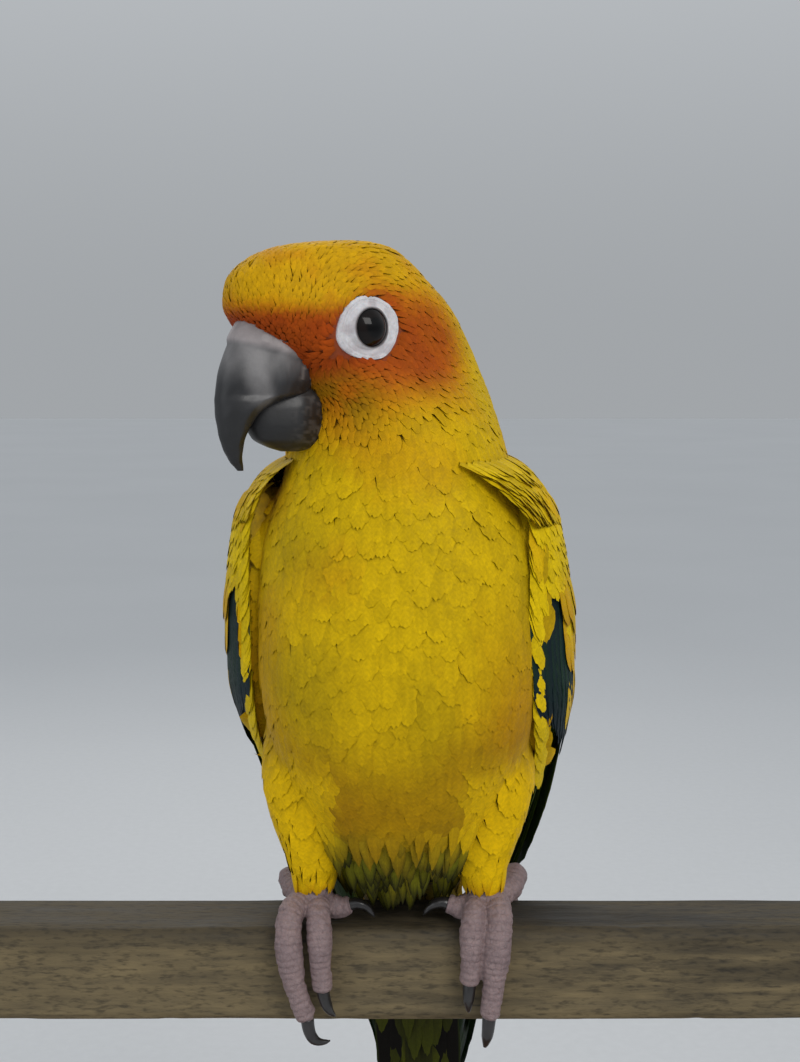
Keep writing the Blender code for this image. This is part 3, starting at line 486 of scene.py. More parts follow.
def tube_rings(path, radii, around, flatten=1.0):
    """Rings round a path; the frame is carried along it without twisting."""
    path = np.asarray(path, float)
    ahead = unit(np.gradient(path, axis=0))
    side = unit(np.cross(ahead[0], (0.3, 0.1, 1.0)))
    angles = np.linspace(0, 2 * np.pi, around, endpoint=False)
    rings = []
    for point, direction, radius in zip(path, ahead, radii):
        side = unit(side - direction * dots(side, direction))
        up = np.cross(direction, side)
        circle = np.cos(angles)[:, None] * side + np.sin(angles)[:, None] * up * flatten
        rings.append(point + circle * radius)
    return rings


def vertices_of(obj):
    co = np.empty(len(obj.data.vertices) * 3, np.float32)
    obj.data.vertices.foreach_get("co", co)
    return co.reshape(-1, 3).astype(float) / MM - (0.0, PERCH_BACK_SHIFT, PERCH_TOP)


def normals_of(obj):
    normals = np.empty(len(obj.data.vertices) * 3, np.float32)
    obj.data.vertices.foreach_get("normal", normals)
    return normals.reshape(-1, 3).astype(float)


def set_vertices(obj, points):
    obj.data.vertices.foreach_set("co", lift(points).astype(np.float32).ravel())
    obj.data.update()


def join(objects, name):
    with bpy.context.temp_override(
        active_object=objects[0], selected_editable_objects=objects, selected_objects=objects
    ):
        bpy.ops.object.join()
    objects[0].name = name
    return objects[0]


def apply_modifiers(obj):
    graph = bpy.context.evaluated_depsgraph_get()
    mesh = bpy.data.meshes.new_from_object(obj.evaluated_get(graph))
    obj.modifiers.clear()
    obj.data = mesh
    return obj


def remeshed(obj, voxel, smoothing):
    """The union of an object's closed parts as one even mesh, slightly smoothed."""
    remesh = obj.modifiers.new("Remesh", "REMESH")
    remesh.mode = "VOXEL"
    remesh.voxel_size = voxel * MM
    smooth = obj.modifiers.new("Smooth", "SMOOTH")
    smooth.iterations = smoothing
    smooth.factor = 0.5
    apply_modifiers(obj)
    obj.data.polygons.foreach_set("use_smooth", np.ones(len(obj.data.polygons), bool))
    return obj


def tree_of(obj):
    """A search tree over an object's faces, in the perch frame."""
    obj.data.calc_loop_triangles()
    faces = np.empty(len(obj.data.loop_triangles) * 3, np.int32)
    obj.data.loop_triangles.foreach_get("vertices", faces)
    return BVHTree.FromPolygons(vertices_of(obj).tolist(), faces.reshape(-1, 3).tolist())


def nearest_on(tree, points):
    """Nearest surface points and their outward normals."""
    places = np.empty((len(points), 3))
    normals = np.empty((len(points), 3))
    for i, point in enumerate(points):
        place, normal, _, _ = tree.find_nearest(point)
        places[i] = place
        normals[i] = normal
    return places, normals


def finder_of(points):
    """A search tree over points."""
    finder = KDTree(len(points))
    for i, point in enumerate(points):
        finder.insert(point, i)
    finder.balance()
    return finder


# How thick the coat is over the skin, by place
FACE_COAT = 0.7
CROWN_COAT = 1.1
BODY_COAT = 1.7
THIGH_COAT = 1.3


def coat_depth(points):
    """Depth of the coat from the outline down to the skin."""
    head = head_frame(points)
    depth = FACE_COAT + (CROWN_COAT - FACE_COAT) * smooth_step(112, 121, points[:, 2])
    away = smooth_step(6, -10, head[:, 0])
    depth = depth + (CROWN_COAT - depth) * away
    lower = smooth_step(104, 84, points[:, 2])
    return depth + (BODY_COAT - depth) * lower


def make_body_skin():
    levels = np.concatenate([
        np.linspace(BODY_BOTTOM, 20, 36, endpoint=False),
        np.linspace(20, 118, 64, endpoint=False),
        np.linspace(118, BODY_STATIONS[0][0], 16),
    ])
    angles = np.linspace(0, 2 * np.pi, BODY_AROUND, endpoint=False)
    rings = [body_points(z, angles) for z in levels[::-1]]
    body = loft("skin", rings)
    points = vertices_of(body)
    set_vertices(body, points - normals_of(body) * coat_depth(points)[:, None])
    return body


def make_thigh_skin(side):
    angles = np.linspace(0, 2 * np.pi, 40, endpoint=False)
    rings = []
    for z in np.linspace(THIGH_STATIONS[0][0], THIGH_STATIONS[-1][0] + 0.8, 24):
        x, y, half, depth = THIGH.read(z)
        shift = RIGHT_THIGH_SHIFT if side < 0 else 0.0
        rings.append(np.stack([
            side * x + shift + (half - THIGH_COAT) * np.cos(angles),
            y + (depth - THIGH_COAT) * np.sin(angles),
            np.full_like(angles, z),
        ], axis=1))
    return loft("thigh_skin", rings)


def make_wing_skin(side):
    """The arm under the wing's coverts, sunk into the shoulder."""
    places = np.linspace(0.03, WING_SKIN_BACK, 26)
    rings = []
    for z in np.linspace(WING_STATIONS[0][0] - 1.5, WING_SKIN_END, 40):
        outer = wing_point(side, z, places, np.full_like(places, -WING_SKIN_DEPTH))
        inner = wing_point(side, z, places, np.full_like(places, -WING_SKIN_DEPTH - WING_SKIN_THICK))
        rings.append(np.concatenate([outer, inner[::-1]]))
    return loft("wing_skin", rings)


def make_tail_skin():
    angles = np.linspace(0, 2 * np.pi, 32, endpoint=False)
    rings = []
    for s in np.linspace(-0.06, TAIL_CORE_END, 16):
        fade = max(s, 0) / TAIL_CORE_END
        half = 7.6 - 3.2 * fade
        thick = 3.2 - 2.4 * fade
        rings.append(tail_place(s, half * np.cos(angles), thick * np.sin(angles)))
    return loft("tail_skin", rings)


# Scutes and creases of the feet
SCUTE_LENGTH = 1.25
SCUTE_DEPTH = 0.27
TOE_SLIMMER = 0.9

# How finely the feet and the flesh are made, and how many places are tried for feather roots
TOE_SIDES = 22
TOE_STEPS = 60
SHANK_STEPS = 30
FOOT_VOXEL = 0.25
FLESH_VOXEL = 1.0
ROOT_SAMPLES = 120000


def foot_paths(side_name):
    """Each digit's middle line and radii: the shank first, then the four toes."""
    foot = FEET[side_name]
    shank_radii = np.interp(np.linspace(0, 2, SHANK_STEPS), range(3), SHANK_RADII)
    found = [(smooth_path(foot["shank"], SHANK_STEPS), shank_radii)]
    for path, radii in zip(foot["toes"], TOE_RADII):
        s = np.linspace(0, 1, TOE_STEPS)
        radius = np.interp(s * (len(radii) - 1), range(len(radii)), radii)
        joints = 1 + 0.07 * np.cos(4 * np.pi * s)
        pad = 1 - 0.6 * smooth_step(0.93, 1.0, s)
        found.append((smooth_path(path, TOE_STEPS), radius * joints * pad * TOE_SLIMMER))
    return found


def out_of_perch(points, clear=0.08):
    """Points that lie inside the perch moved out through its nearest face."""
    half = PERCH_SIDE / 2 + clear
    x_in = np.abs(points[:, 0]) < PERCH_LENGTH / 2
    y = points[:, 1]
    z = points[:, 2] + PERCH_SIDE / 2
    depth_y = half - np.abs(y)
    depth_z = half - np.abs(z)
    inside = x_in & (depth_y > 0) & (depth_z > 0)
    moved = points.copy()
    by_y = inside & (depth_y < depth_z)
    by_z = inside & ~by_y
    moved[by_y, 1] = np.sign(y[by_y]) * half
    moved[by_z, 2] = np.sign(z[by_z]) * half - PERCH_SIDE / 2
    return moved


def make_foot_skin(side_name):
    """A foot with its pads, joints, scutes and creases."""
    digits = foot_paths(side_name)
    pieces = []
    for path, radii in digits:
        pieces.append(loft("digit", tube_rings(path, radii, TOE_SIDES)))
    foot = remeshed(join(pieces, "foot_skin"), FOOT_VOXEL, 4)
    points = vertices_of(foot)
    normals = normals_of(foot)
    samples = np.concatenate([path for path, _ in digits])
    gone = np.concatenate([np.arange(len(path)) / (len(path) - 1) * np.linalg.norm(
        np.diff(path, axis=0), axis=1).sum() for path, _ in digits])
    which = np.concatenate([np.full(len(path), k) for k, (path, _) in enumerate(digits)])
    ahead = np.concatenate([unit(np.gradient(path, axis=0)) for path, _ in digits])
    finder = finder_of(samples)
    nearest = np.array([finder.find(point)[1] for point in points])
    offset = points - samples[nearest]
    along = gone[nearest] + dots(offset, ahead[nearest])
    outward = unit(offset - ahead[nearest] * dots(offset, ahead[nearest])[:, None])
    # The upper side of a toe faces away from the perch's middle.
    middle = np.stack([points[:, 0], np.zeros(len(points)), np.full(len(points), -PERCH_SIDE / 2)], axis=1)
    upper = smooth_step(-0.15, 0.45, dots(outward, unit(points - middle)))
    phase = along / SCUTE_LENGTH + which[nearest] * 0.37
    tooth = phase - np.floor(phase)
    scute = 1 - np.abs(2 * tooth - 1) ** 5
    step = 0.3 * tooth
    pebble = lattice_noise(points, 0.75, 3)
    crease = lattice_noise(points * (1.0, 1.0, 1.6), 1.6, 5)
    rise = upper * SCUTE_DEPTH * (scute - 1 + step) + (1 - upper) * 0.2 * (pebble - 0.5)
    rise = rise + 0.3 * (crease - 0.5) + 0.12 * (pebble - 0.5)
    set_vertices(foot, out_of_perch(points + normals * rise[:, None]))
    return foot


def make_skin(materials):
    """The one skin of the bird, with a search tree and the places where small feathers root."""
    body = [make_body_skin(), make_tail_skin()]
    for side in (1, -1):
        body += [make_thigh_skin(side), make_wing_skin(side)]
    flesh = remeshed(join(body, "skin"), FLESH_VOXEL, 3)
    tree = tree_of(flesh)
    roots = sampled_places(flesh, ROOT_SAMPLES, feathered)
    feet = [make_foot_skin(side_name) for side_name in ("left", "right")]
    flesh_count = len(flesh.data.polygons)
    skin = join([flesh] + feet, "skin")
    for material in materials:
        skin.data.materials.append(material)
    is_foot = np.zeros(len(skin.data.polygons), np.int32)
    is_foot[flesh_count:] = 1
    skin.data.polygons.foreach_set("material_index", is_foot)
    return skin, tree, roots


BODY_MIDDLE = (0.5, -3.0, 0.0)
# Where the body's markings begin and where they are full: heights, or distances to the back or side
FRONT_FADE = (4, -12)
BACK_FADE = (2, 14)
WARM_FADE = (40, 70)
BELLY_FADE = (58, 30)
FLANK_SIDE = (14, 22)
FLANK_TOP = (72, 50)
FLANK_BOTTOM = (30, 42)
OLIVE_SHADE_FADE = (84, 70)
THIGH_SIDE = (9.5, 12.0)
THIGH_TOP = (36, 30)
LOW_BELLY_SHADE_FADE = (44, 28)
VENT_FADE = (23, 15)
VENT_SHADE_FADE = (18, 9)
HEAD_FADE = (92, 104)
THROAT_FADE = (86, 94)
CROWN_FADE = (113.2, 116.2)

# Ovals of colour on the sides of the head, in its own frame: forward, height, half length, half height
ORANGE_WASH = (6, 107, 22, 16)
CHIN_PATCH = (9.5, 98.5, 5.5, 6.0)
EYE_PATCH = (5.6, 110.5, 9.5, 8.0)
LORES_PATCH = (14, 108, 7.5, 6.5)
CHEEK_PATCH = (-5, 107, 9.5, 8.0)


def blob(head, oval, softness=0.45):
    """1 inside an oval on the side of the head, fading to 0 outside."""
    forward, height, reach_forward, reach_height = oval
    distance = np.hypot((head[:, 0] - forward) / reach_forward, (head[:, 2] - height) / reach_height)
    return smooth_step(1 + softness, 1 - softness, distance)


def body_colour(points, patch, fine):
    """Yellow with orange and brown patches, olive patches of painted shade, plain thighs, an olive vent, and
    painted shade low on the belly and over the vent.
    """
    z = points[:, 2]
    local = turned(points - BODY_MIDDLE, -BODY_YAW)
    warm = lattice_noise(points, 16.0, 4)
    front = smooth_step(*FRONT_FADE, local[:, 1])
    colour = np.tile(TINTS["yellow"], (len(points), 1))
    colour = mixed(colour, TINTS["orange"], 0.2 * smooth_step(0.45, 0.8, patch) * smooth_step(*WARM_FADE, z))
    belly = smooth_step(*BELLY_FADE, z) * front * (0.15 + 0.6 * smooth_step(0.4, 0.7, warm))
    flank = smooth_step(*FLANK_SIDE, np.abs(local[:, 0])) * smooth_step(*FLANK_TOP, z)
    flank = flank * smooth_step(*FLANK_BOTTOM, z)
    colour = mixed(colour, TINTS["belly"], np.clip(belly + 0.4 * flank, 0, 0.75))
    # painted shade: olive patches darken the lower breast and belly
    shaded = smooth_step(0.5, 0.8, lattice_noise(points, 11.0, 5)) * smooth_step(*OLIVE_SHADE_FADE, z)
    colour = mixed(colour, TINTS["olive_shade"], 0.35 * shaded)
    thigh = smooth_step(*THIGH_SIDE, np.abs(points[:, 0])) * smooth_step(*THIGH_TOP, z)
    colour = mixed(colour, TINTS["thigh"], thigh)
    back = smooth_step(*BACK_FADE, local[:, 1])
    colour = mixed(colour, TINTS["mantle"], 0.8 * back * smooth_step(0.3, 0.7, patch))
    below = smooth_step(4, -4, points[:, 1] - BODY.read(z)[:, 1]) * (1 - thigh)
    # painted shade, with a deeper orange: the belly between the thighs darkens downwards
    low = smooth_step(*LOW_BELLY_SHADE_FADE, z) * (0.6 + 0.4 * smooth_step(0.35, 0.65, warm)) * below
    colour = mixed(colour, TINTS["belly_low_orange_and_shade"], 0.6 * low)
    vent = smooth_step(*VENT_FADE, z) * (0.45 + 0.55 * smooth_step(0.3, 0.6, fine)) * below
    colour = mixed(colour, TINTS["vent"], np.clip(vent, 0, 0.9))
    # painted shade: dark patches low on the belly between the legs
    dark = smooth_step(*VENT_SHADE_FADE, z) * smooth_step(0.36, 0.5, lattice_noise(points, 2.4, 8)) * below
    return mixed(colour, TINTS["vent_shade"], dark)


def plumage(points):
    """Colour of the plumage of the head and body at each place."""
    head = head_frame(points)
    z = points[:, 2]
    fine = lattice_noise(points, 3.2, 2)
    colour = body_colour(points, lattice_noise(points, 9.0, 1), fine)
    on_head = smooth_step(*HEAD_FADE, z)
    wash = blob(head, ORANGE_WASH, 0.3) * on_head
    throat = smooth_step(*THROAT_FADE, z) * smooth_step(-4, 8, head[:, 0])
    colour = mixed(colour, TINTS["orange"], np.clip(0.75 * wash + 0.35 * throat, 0, 0.85))
    # painted shade: an olive patch under the bill
    chin = blob(head, CHIN_PATCH, 0.5)
    colour = mixed(colour, TINTS["olive_shade"], 0.55 * chin * smooth_step(0.3, 0.6, fine))
    forehead = smooth_step(14, 18, head[:, 0]) * smooth_step(115.5, 113, z) * smooth_step(101, 105, z)
    red = np.maximum.reduce([
        blob(head, EYE_PATCH),
        blob(head, LORES_PATCH),
        blob(head, CHEEK_PATCH) * 0.9,
        forehead,
    ])
    colour = mixed(colour, TINTS["red"], 0.92 * red * (0.75 + 0.25 * fine) * on_head)
    brow = 3.0 * smooth_step(13, 4, head[:, 0])
    crown = on_head * smooth_step(*CROWN_FADE, z - brow - 0.12 * (10 - np.abs(head[:, 1])))
    yellow = mixed(TINTS["crown"], TINTS["orange"], 0.3 * smooth_step(0.5, 0.8, fine))
    return mixed(colour, yellow, 0.92 * crown)


# Lengths of the small feathers: on the neck, what the body adds, and what the face and rump take off
NECK_LENGTH = 5.6
BODY_LONGER = 3.6
FACE_SHORTER = 3.0
RUMP_SHORTER = 1.5
FACE_MIDDLE = (15.0, 0.0, 106.0)


def feather_size(points):
    """Length and half width of the small feathers, and the distance between their roots."""
    head = head_frame(points)
    z = points[:, 2]
    near_bill = np.linalg.norm(head - FACE_MIDDLE, axis=1)
    on_face = smooth_step(34, 12, near_bill) * smooth_step(88, 100, z)
    on_body = smooth_step(100, 72, z)
    length = NECK_LENGTH + BODY_LONGER * on_body - FACE_SHORTER * on_face
    length = length - RUMP_SHORTER * smooth_step(16, 4, z)
    half = length * (0.25 + 0.03 * on_body)
    spacing = 0.25 * length * (1 - 0.1 * on_body)
    return length, half, spacing


# The place that the head's feathers point away from, and how near the eye they bend round it
BILL_BASE = np.array([14.0, 0.0, 106.0])
RING_REACH = 6.6


def lie(points, normals):
    """The way the feathers lie: back from the bill, round the eyes, and down the body."""
    head = head_frame(points)
    from_bill = head - BILL_BASE
    distance = np.linalg.norm(from_bill, axis=1)
    back = turned(np.stack([from_bill[:, 1], -from_bill[:, 0], from_bill[:, 2]], axis=1), HEAD_YAW)
    back = unit(back)
    down = np.zeros_like(points)
    down[:, 2] = -1.0
    on_head = smooth_step(88, 100, points[:, 2])
    down_share = np.maximum(smooth_step(12, 30, distance), 1 - on_head)
    field = back * on_head[:, None] + down * (1.25 * down_share)[:, None]
    local = turned(points, -BODY_YAW)
    outward = np.zeros_like(points)
    outward[:, 0] = np.clip(local[:, 0] / 24.0, -1, 1) * 0.22
    field = field + outward * (1 - on_head)[:, None]
    tangent = unit(field - normals * dots(field, normals)[:, None])
    for side in (1, -1):
        eye = head_point(EYE_FORWARD, side * EYE_SIDE, EYE_HEIGHT)
        spoke = points - eye
        spoke = spoke - normals * dots(spoke, normals)[:, None]
        far = np.linalg.norm(points - eye, axis=1)
        reach = np.maximum(np.linalg.norm(spoke, axis=1), 1e-6)
        radial = spoke / reach[:, None]
        ratio = np.clip(RING_REACH / np.maximum(reach, RING_REACH), 0, 1) ** 2
        ratio = ratio * (far < 18)
        inward = dots(tangent, radial)
        tangent = unit(tangent - radial * (2 * ratio * inward)[:, None] * (inward < 0)[:, None])
    return tangent


def sampled_places(obj, count, keep):
    """Random points of an object's faces where keep says so, with the face normals."""
    rng = np.random.default_rng(SEED)
    obj.data.calc_loop_triangles()
    corners = np.empty(len(obj.data.loop_triangles) * 3, np.int32)
    obj.data.loop_triangles.foreach_get("vertices", corners)
    triangles = vertices_of(obj)[corners.reshape(-1, 3)]
    crosses = np.cross(triangles[:, 1] - triangles[:, 0], triangles[:, 2] - triangles[:, 0])
    area = np.linalg.norm(crosses, axis=1) / 2
    middle = triangles.mean(axis=1)
    area = area * keep(middle)
    chosen = rng.choice(len(area), count, p=area / area.sum())
    a, b = rng.random((2, count))
    flip = a + b > 1
    a[flip], b[flip] = 1 - a[flip], 1 - b[flip]
    t = triangles[chosen]
    points = t[:, 0] + (t[:, 1] - t[:, 0]) * a[:, None] + (t[:, 2] - t[:, 0]) * b[:, None]
    return points, unit(crosses[chosen])


def thinned(points, spacing):
    """Indices of points that keep their own spacing from one another."""
    finder = finder_of(points)
    gone = np.zeros(len(points), bool)
    kept = []
    for i in range(len(points)):
        if gone[i]:
            continue
        kept.append(i)
        for _, j, _ in finder.find_range(points[i], spacing[i]):
            gone[j] = True
    return np.array(kept)


MOST_TRIANGLES = 180000
# Side of each vane's own patch of the body's unwrap
PATCH = 0.003
# Where the columns of points lie across a vane, from edge to edge
COLUMNS_SMALL = (-1.0, -0.5, 0.0, 0.5, 1.0)
COLUMNS_BODY = tuple(np.linspace(-1, 1, 11))
COLUMNS_LARGE = (-1.0, -0.82, -0.55, -0.25, -0.06, 0.0, 0.06, 0.25, 0.55, 0.82, 1.0)
# How many rows of points run along the vanes of each kind
FACE_ROWS = 4
BODY_ROWS = 5
LOOSE_ROWS = 6
LONG_ROWS = 18
COVERT_ROWS = 12
TAIL_ROWS = 22
TAIL_COVERT_ROWS = 10


def vane_template(columns, rows):
    """Faces of one closed vane: a grid seen from outside, and the same grid under it."""
    across = len(columns)
    top = np.arange(rows * across).reshape(rows, across)
    under = top.copy()
    inner = np.arange((rows - 2) * (across - 2)).reshape(rows - 2, across - 2)
    under[1:-1, 1:-1] = rows * across + inner
    faces = []
    for i in range(rows - 1):
        for j in range(across - 1):
            faces.append((top[i, j], top[i + 1, j], top[i + 1, j + 1], top[i, j + 1]))
            faces.append((under[i, j], under[i, j + 1], under[i + 1, j + 1], under[i + 1, j]))
    border = np.zeros((rows, across), bool)
    border[[0, -1], :] = True
    border[:, [0, -1]] = True
    rim = np.concatenate([border.ravel(), np.zeros(inner.size, bool)])
    return np.array(faces), rim


def along_path(samples, v):
    """Values of evenly spaced samples (feather, step, xyz) at places v (feather, row, column)."""
    steps = samples.shape[1] - 1
    at = np.clip(v, 0, 1) * steps
    i = np.minimum(at.astype(int), steps - 1)
    share = (at - i)[..., None]
    which = np.arange(len(samples))[:, None, None]
    return samples[which, i] * (1 - share) + samples[which, i + 1] * share


def vanes(name, feathers, columns, rows, look, material):
    """Closed feather vanes as joined meshes of at most MOST_TRIANGLES each."""
    faces, rim = vane_template(columns, rows)
    most = MOST_TRIANGLES // (2 * len(faces))
    count = len(feathers["path"])
    for start in range(0, count, most):
        part = {key: value[start : start + most] for key, value in feathers.items()}
        suffix = f"_{start // most + 1}" if count > most else ""
        vane_piece(name + suffix, part, columns, rows, look, material, faces, rim)


def vane_shape(f, u, v, look, rng):
    """Points on top of vanes and below them, and which way the vanes face, spread and grow.

    look gives the outline: width along the vane, roundness, splits and camber.
    """
    count, rows, columns = len(f["path"]), v.shape[1], u.shape[2]
    length = f["length"][:, None, None]
    half = f["half"][:, None, None]
    split = look["split"] * rng.uniform(0.3, 1.0, (count, 1, columns))
    split[:, :, 1::2] *= look.get("alternate", 0.15)
    end = 1 - look["round"] * np.abs(u) ** 2.2 - split
    at = v * end
    width_v, width_w = np.array(look["width"]).T
    width = np.interp(at, width_v, width_w) * half
    frayed = 1 - look.get("fray", 0.0) * rng.random((count, rows, columns)) ** 3 * np.abs(u) ** 3
    sweep = look.get("sweep", 0.0) * np.abs(u) ** 1.5 * half / length
    centre = along_path(f["path"], at + sweep * v)
    outward = unit(along_path(f["outward"], at))
    ahead = unit(along_path(f["ahead"], at))
    across = np.cross(outward, ahead)
    tilt = f["roll"][:, None, None, None]
    across = unit(across - outward * tilt)
    outward = np.cross(ahead, across)
    height = along_path(f["height"][..., None], at)[..., 0]
    ridge = look.get("ridge", 0.0) * np.exp(-((u / 0.05) ** 2)) * (1 - 0.7 * v)
    height = height - look["camber"] * width * u**2 + ridge
    top = centre + across * (width * u * frayed)[..., None] + outward * height[..., None]
    thickness = look["thickness"] * (1 - 0.5 * v)
    under = (top - outward * (thickness * (1 - np.abs(u) ** 4))[..., None])[:, 1:-1, 1:-1]
    return top, under, outward, across, ahead


def vane_colours(f, u, v, look, rng):
    """Colours on top of vanes: web, edge and tip, with a grey root darkened as painted shade, and fine
    streaks.
    """
    count, rows, columns = len(f["path"]), v.shape[1], u.shape[2]
    edge = smooth_step(look["edge_from"], 1.0, np.abs(u))
    tip = smooth_step(0.45, 1.0, v)
    shade = mixed(f["colour"][:, None, None, :], f["edge"][:, None, None, :], edge * (0.3 + 0.7 * tip))
    shade = mixed(shade, f["tip"][:, None, None, :], tip * np.ones_like(u))
    # painted shade: the root of each vane, covered by the feathers above, is darkened as well as greyed
    root = smooth_step(0.35, 0.0, v) * np.ones_like(u) * look.get("root_grey_and_shade", 0.4)
    shade = mixed(shade, shade * 0.45 + TINTS["grey_root"] * 0.2, root)
    streak = 1 + 0.15 * (rng.random((count, 1, columns, 1)) - 0.5)
    return np.broadcast_to(shade * streak, (count, rows, columns, 3))


def by_vane(top, under):
    """Values of each vane in one list: those on top and then those below."""
    count, depth = len(top), top.shape[-1]
    return np.concatenate([top.reshape(count, -1, depth), under.reshape(count, -1, depth)], axis=1)


def vane_mesh(name, points, faces, rim):
    """A mesh of vanes from their points and the faces of one of them, sharp along its rim."""
    count, per_vane = points.shape[:2]
    mesh = bpy.data.meshes.new(name)
    all_faces = (faces[None] + (np.arange(count) * per_vane)[:, None, None]).reshape(-1, 4)
    mesh.vertices.add(count * per_vane)
    mesh.vertices.foreach_set("co", lift(points.reshape(-1, 3)).astype(np.float32).ravel())
    mesh.loops.add(all_faces.size)
    mesh.loops.foreach_set("vertex_index", all_faces.astype(np.int32).ravel())
    mesh.polygons.add(len(all_faces))
    mesh.polygons.foreach_set("loop_start", np.arange(0, all_faces.size, 4, dtype=np.int32))
    mesh.update(calc_edges=True)
    mesh.polygons.foreach_set("use_smooth", np.ones(len(all_faces), bool))
    ends = np.empty(len(mesh.edges) * 2, np.int32)
    mesh.edges.foreach_get("vertices", ends)
    on_rim = np.tile(rim, count)[ends.reshape(-1, 2)].all(axis=1)
    sharp = mesh.attributes.new("sharp_edge", "BOOLEAN", "EDGE")
    sharp.data.foreach_set("value", on_rim)
    return mesh, all_faces


def vane_piece(name, f, columns, rows, look, material, faces, rim):
    """One piece of the visual model from the vanes of a group of feathers."""
    rng = np.random.default_rng(SEED + len(name) + len(f["path"]))
    u = np.asarray(columns)[None, None, :]
    v = np.linspace(0, 1, rows)[None, :, None]
    top, under, outward, across, ahead = vane_shape(f, u, v, look, rng)
    shade = vane_colours(f, u, v, look, rng)
    below = np.broadcast_to(f["under"][:, None, None, :], under.shape)
    grid_u = np.broadcast_to(u * 0.5 + 0.5, top.shape[:3])
    grid_v = np.broadcast_to(v, top.shape[:3])
    places = np.stack([grid_u, grid_v], axis=-1)
    places = by_vane(places, places[:, 1:-1, 1:-1])
    bake = f["chart"][:, None, :] + (places - 0.5) * PATCH
    mesh, all_faces = vane_mesh(name, by_vane(top, under), faces, rim)
    obj = linked(name, mesh)
    tint_points(obj, by_vane(shade, below).reshape(-1, 3))
    for layer, values in (("OFBake", bake), ("Vane", places)):
        uv = mesh.uv_layers.new(name=layer)
        uv.data.foreach_set("uv", values.reshape(-1, 2)[all_faces.ravel()].astype(np.float32).ravel())
    soft = look.get("soft", 0.0)
    if soft:
        bend = across * (u[..., None] * (1 - soft)) - ahead * 0.04
        facing = unit(outward + np.broadcast_to(bend, outward.shape))
        normals = by_vane(facing, -facing[:, 1:-1, 1:-1])
        mesh.normals_split_custom_set_from_vertices(normals.reshape(-1, 3).tolist())
    mesh.materials.append(material)
    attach(obj, "root")


PATH_STEPS = 6


def walked(tree, points, length):
    """Paths over the skin from each point along the lie, with the outward and forward directions."""
    place, normal = nearest_on(tree, points)
    path, outward, ahead = [place], [normal], [lie(place, normal)]
    step = length / (PATH_STEPS - 1)
    for _ in range(PATH_STEPS - 1):
        target = place + ahead[-1] * step[:, None]
        place, face_normal = nearest_on(tree, target)
        normal = unit(normal + face_normal)
        path.append(place)
        outward.append(normal)
        ahead.append(lie(place, normal))
    return np.stack(path, 1), np.stack(outward, 1), np.stack(ahead, 1)


def body_chart(points):
    """Each point's place on an unwrap of the body: round it, and along it; the legs lie below."""
    x, y, yaw = np.moveaxis(BODY.read(points[:, 2]), -1, 0)[:3]
    local = turned(points - np.stack([x, y, points[:, 2]], axis=1), yaw)
    round_body = np.arctan2(local[:, 0], -local[:, 1]) / (2 * np.pi) + 0.5
    along = (points[:, 2] + 20) / 150
    chart = np.stack([0.02 + 0.96 * round_body, 0.22 + 0.76 * along], axis=1)
    leg = on_thigh(points)
    side = np.sign(points[:, 0])
    turn = np.arctan2(points[:, 1] + 4.5, np.abs(points[:, 0]) - 16.5) / (2 * np.pi) + 0.5
    leg_u = 0.25 + 0.25 * side + 0.42 * turn
    leg_chart = np.stack([0.03 + 0.9 * leg_u, 0.02 + 0.16 * (points[:, 2] - 6) / 36], axis=1)
    return np.where(leg[:, None], leg_chart, chart)


def body_share(points):
    """How far out each point is from the body's middle: 1 on its outline."""
    x, y, yaw, front, back, half, power = np.moveaxis(BODY.read(points[:, 2]), -1, 0)
    local = turned(points - np.stack([x, y, points[:, 2]], axis=1), yaw)
    reach = np.where(local[:, 1] < 0, front, back)
    total = np.abs(local[:, 1] / reach) ** power + np.abs(local[:, 0] / half) ** power
    return total ** (1 / power)


def on_thigh(points):
    x, y, half, depth = np.moveaxis(THIGH.read(points[:, 2]), -1, 0)
    shift = np.where(points[:, 0] < 0, RIGHT_THIGH_SHIFT, 0.0)
    side = np.sign(points[:, 0])
    far = np.hypot((points[:, 0] - shift - side * x) / half, (points[:, 1] - y) / depth)
    return (points[:, 2] < 40) & (far < 1.0) & (body_share(points) > 0.97)


# Where the feathers end round the bill, in the head's own frame: height and place forward
FEATHER_LINE = ((88.0, 9.0), (90.2, 10.6), (97.0, 11.6), (101.0, 12.5), (103.6, 14.1), (107.9, 17.1),
                (110.0, 21.0), (112.6, 23.5))
BILL_TOP = 111.6
BILL_HALF = 6.2
RING_INNER_SIDE = 7.0
WING_ARM_BOTTOM = 27.0
COAT_BOTTOM = -11.0


def ring_share(forward, height):
    """Where a place lies in the eye's bare ring: 0 in its middle, 1 on its edge."""
    tilt = math.radians(RING_TILT)
    f, z = forward - EYE_FORWARD, height - EYE_HEIGHT
    along = np.abs(f * math.cos(tilt) - z * math.sin(tilt)) / (RING_LENGTH + RING_MARGIN)
    over = np.abs(f * math.sin(tilt) + z * math.cos(tilt)) / (RING_HEIGHT + RING_MARGIN)
    return along**RING_POWER + over**RING_POWER


def feathered(points):
    """Which places of the skin grow small feathers: not the eye rings, the bill or the wings' arms."""
    head = head_frame(points)
    f, s, z = head[:, 0], head[:, 1], head[:, 2]
    eye = (ring_share(f, z) < 1) & (np.abs(s) > RING_INNER_SIDE)
    line_z, line_f = np.array(FEATHER_LINE).T
    at_bill = (z > line_z[0]) & (z < BILL_TOP) & (np.abs(s) < BILL_HALF)
    bill = at_bill & (f > np.interp(z, line_z, line_f))
    wing = (z > WING_ARM_BOTTOM) & (body_share(points) > 1.01) & ~on_thigh(points)
    return ~eye & ~bill & ~wing & (z > COAT_BOTTOM)


SCREEN_ACROSS = 13
SCREEN_ROWS = 60


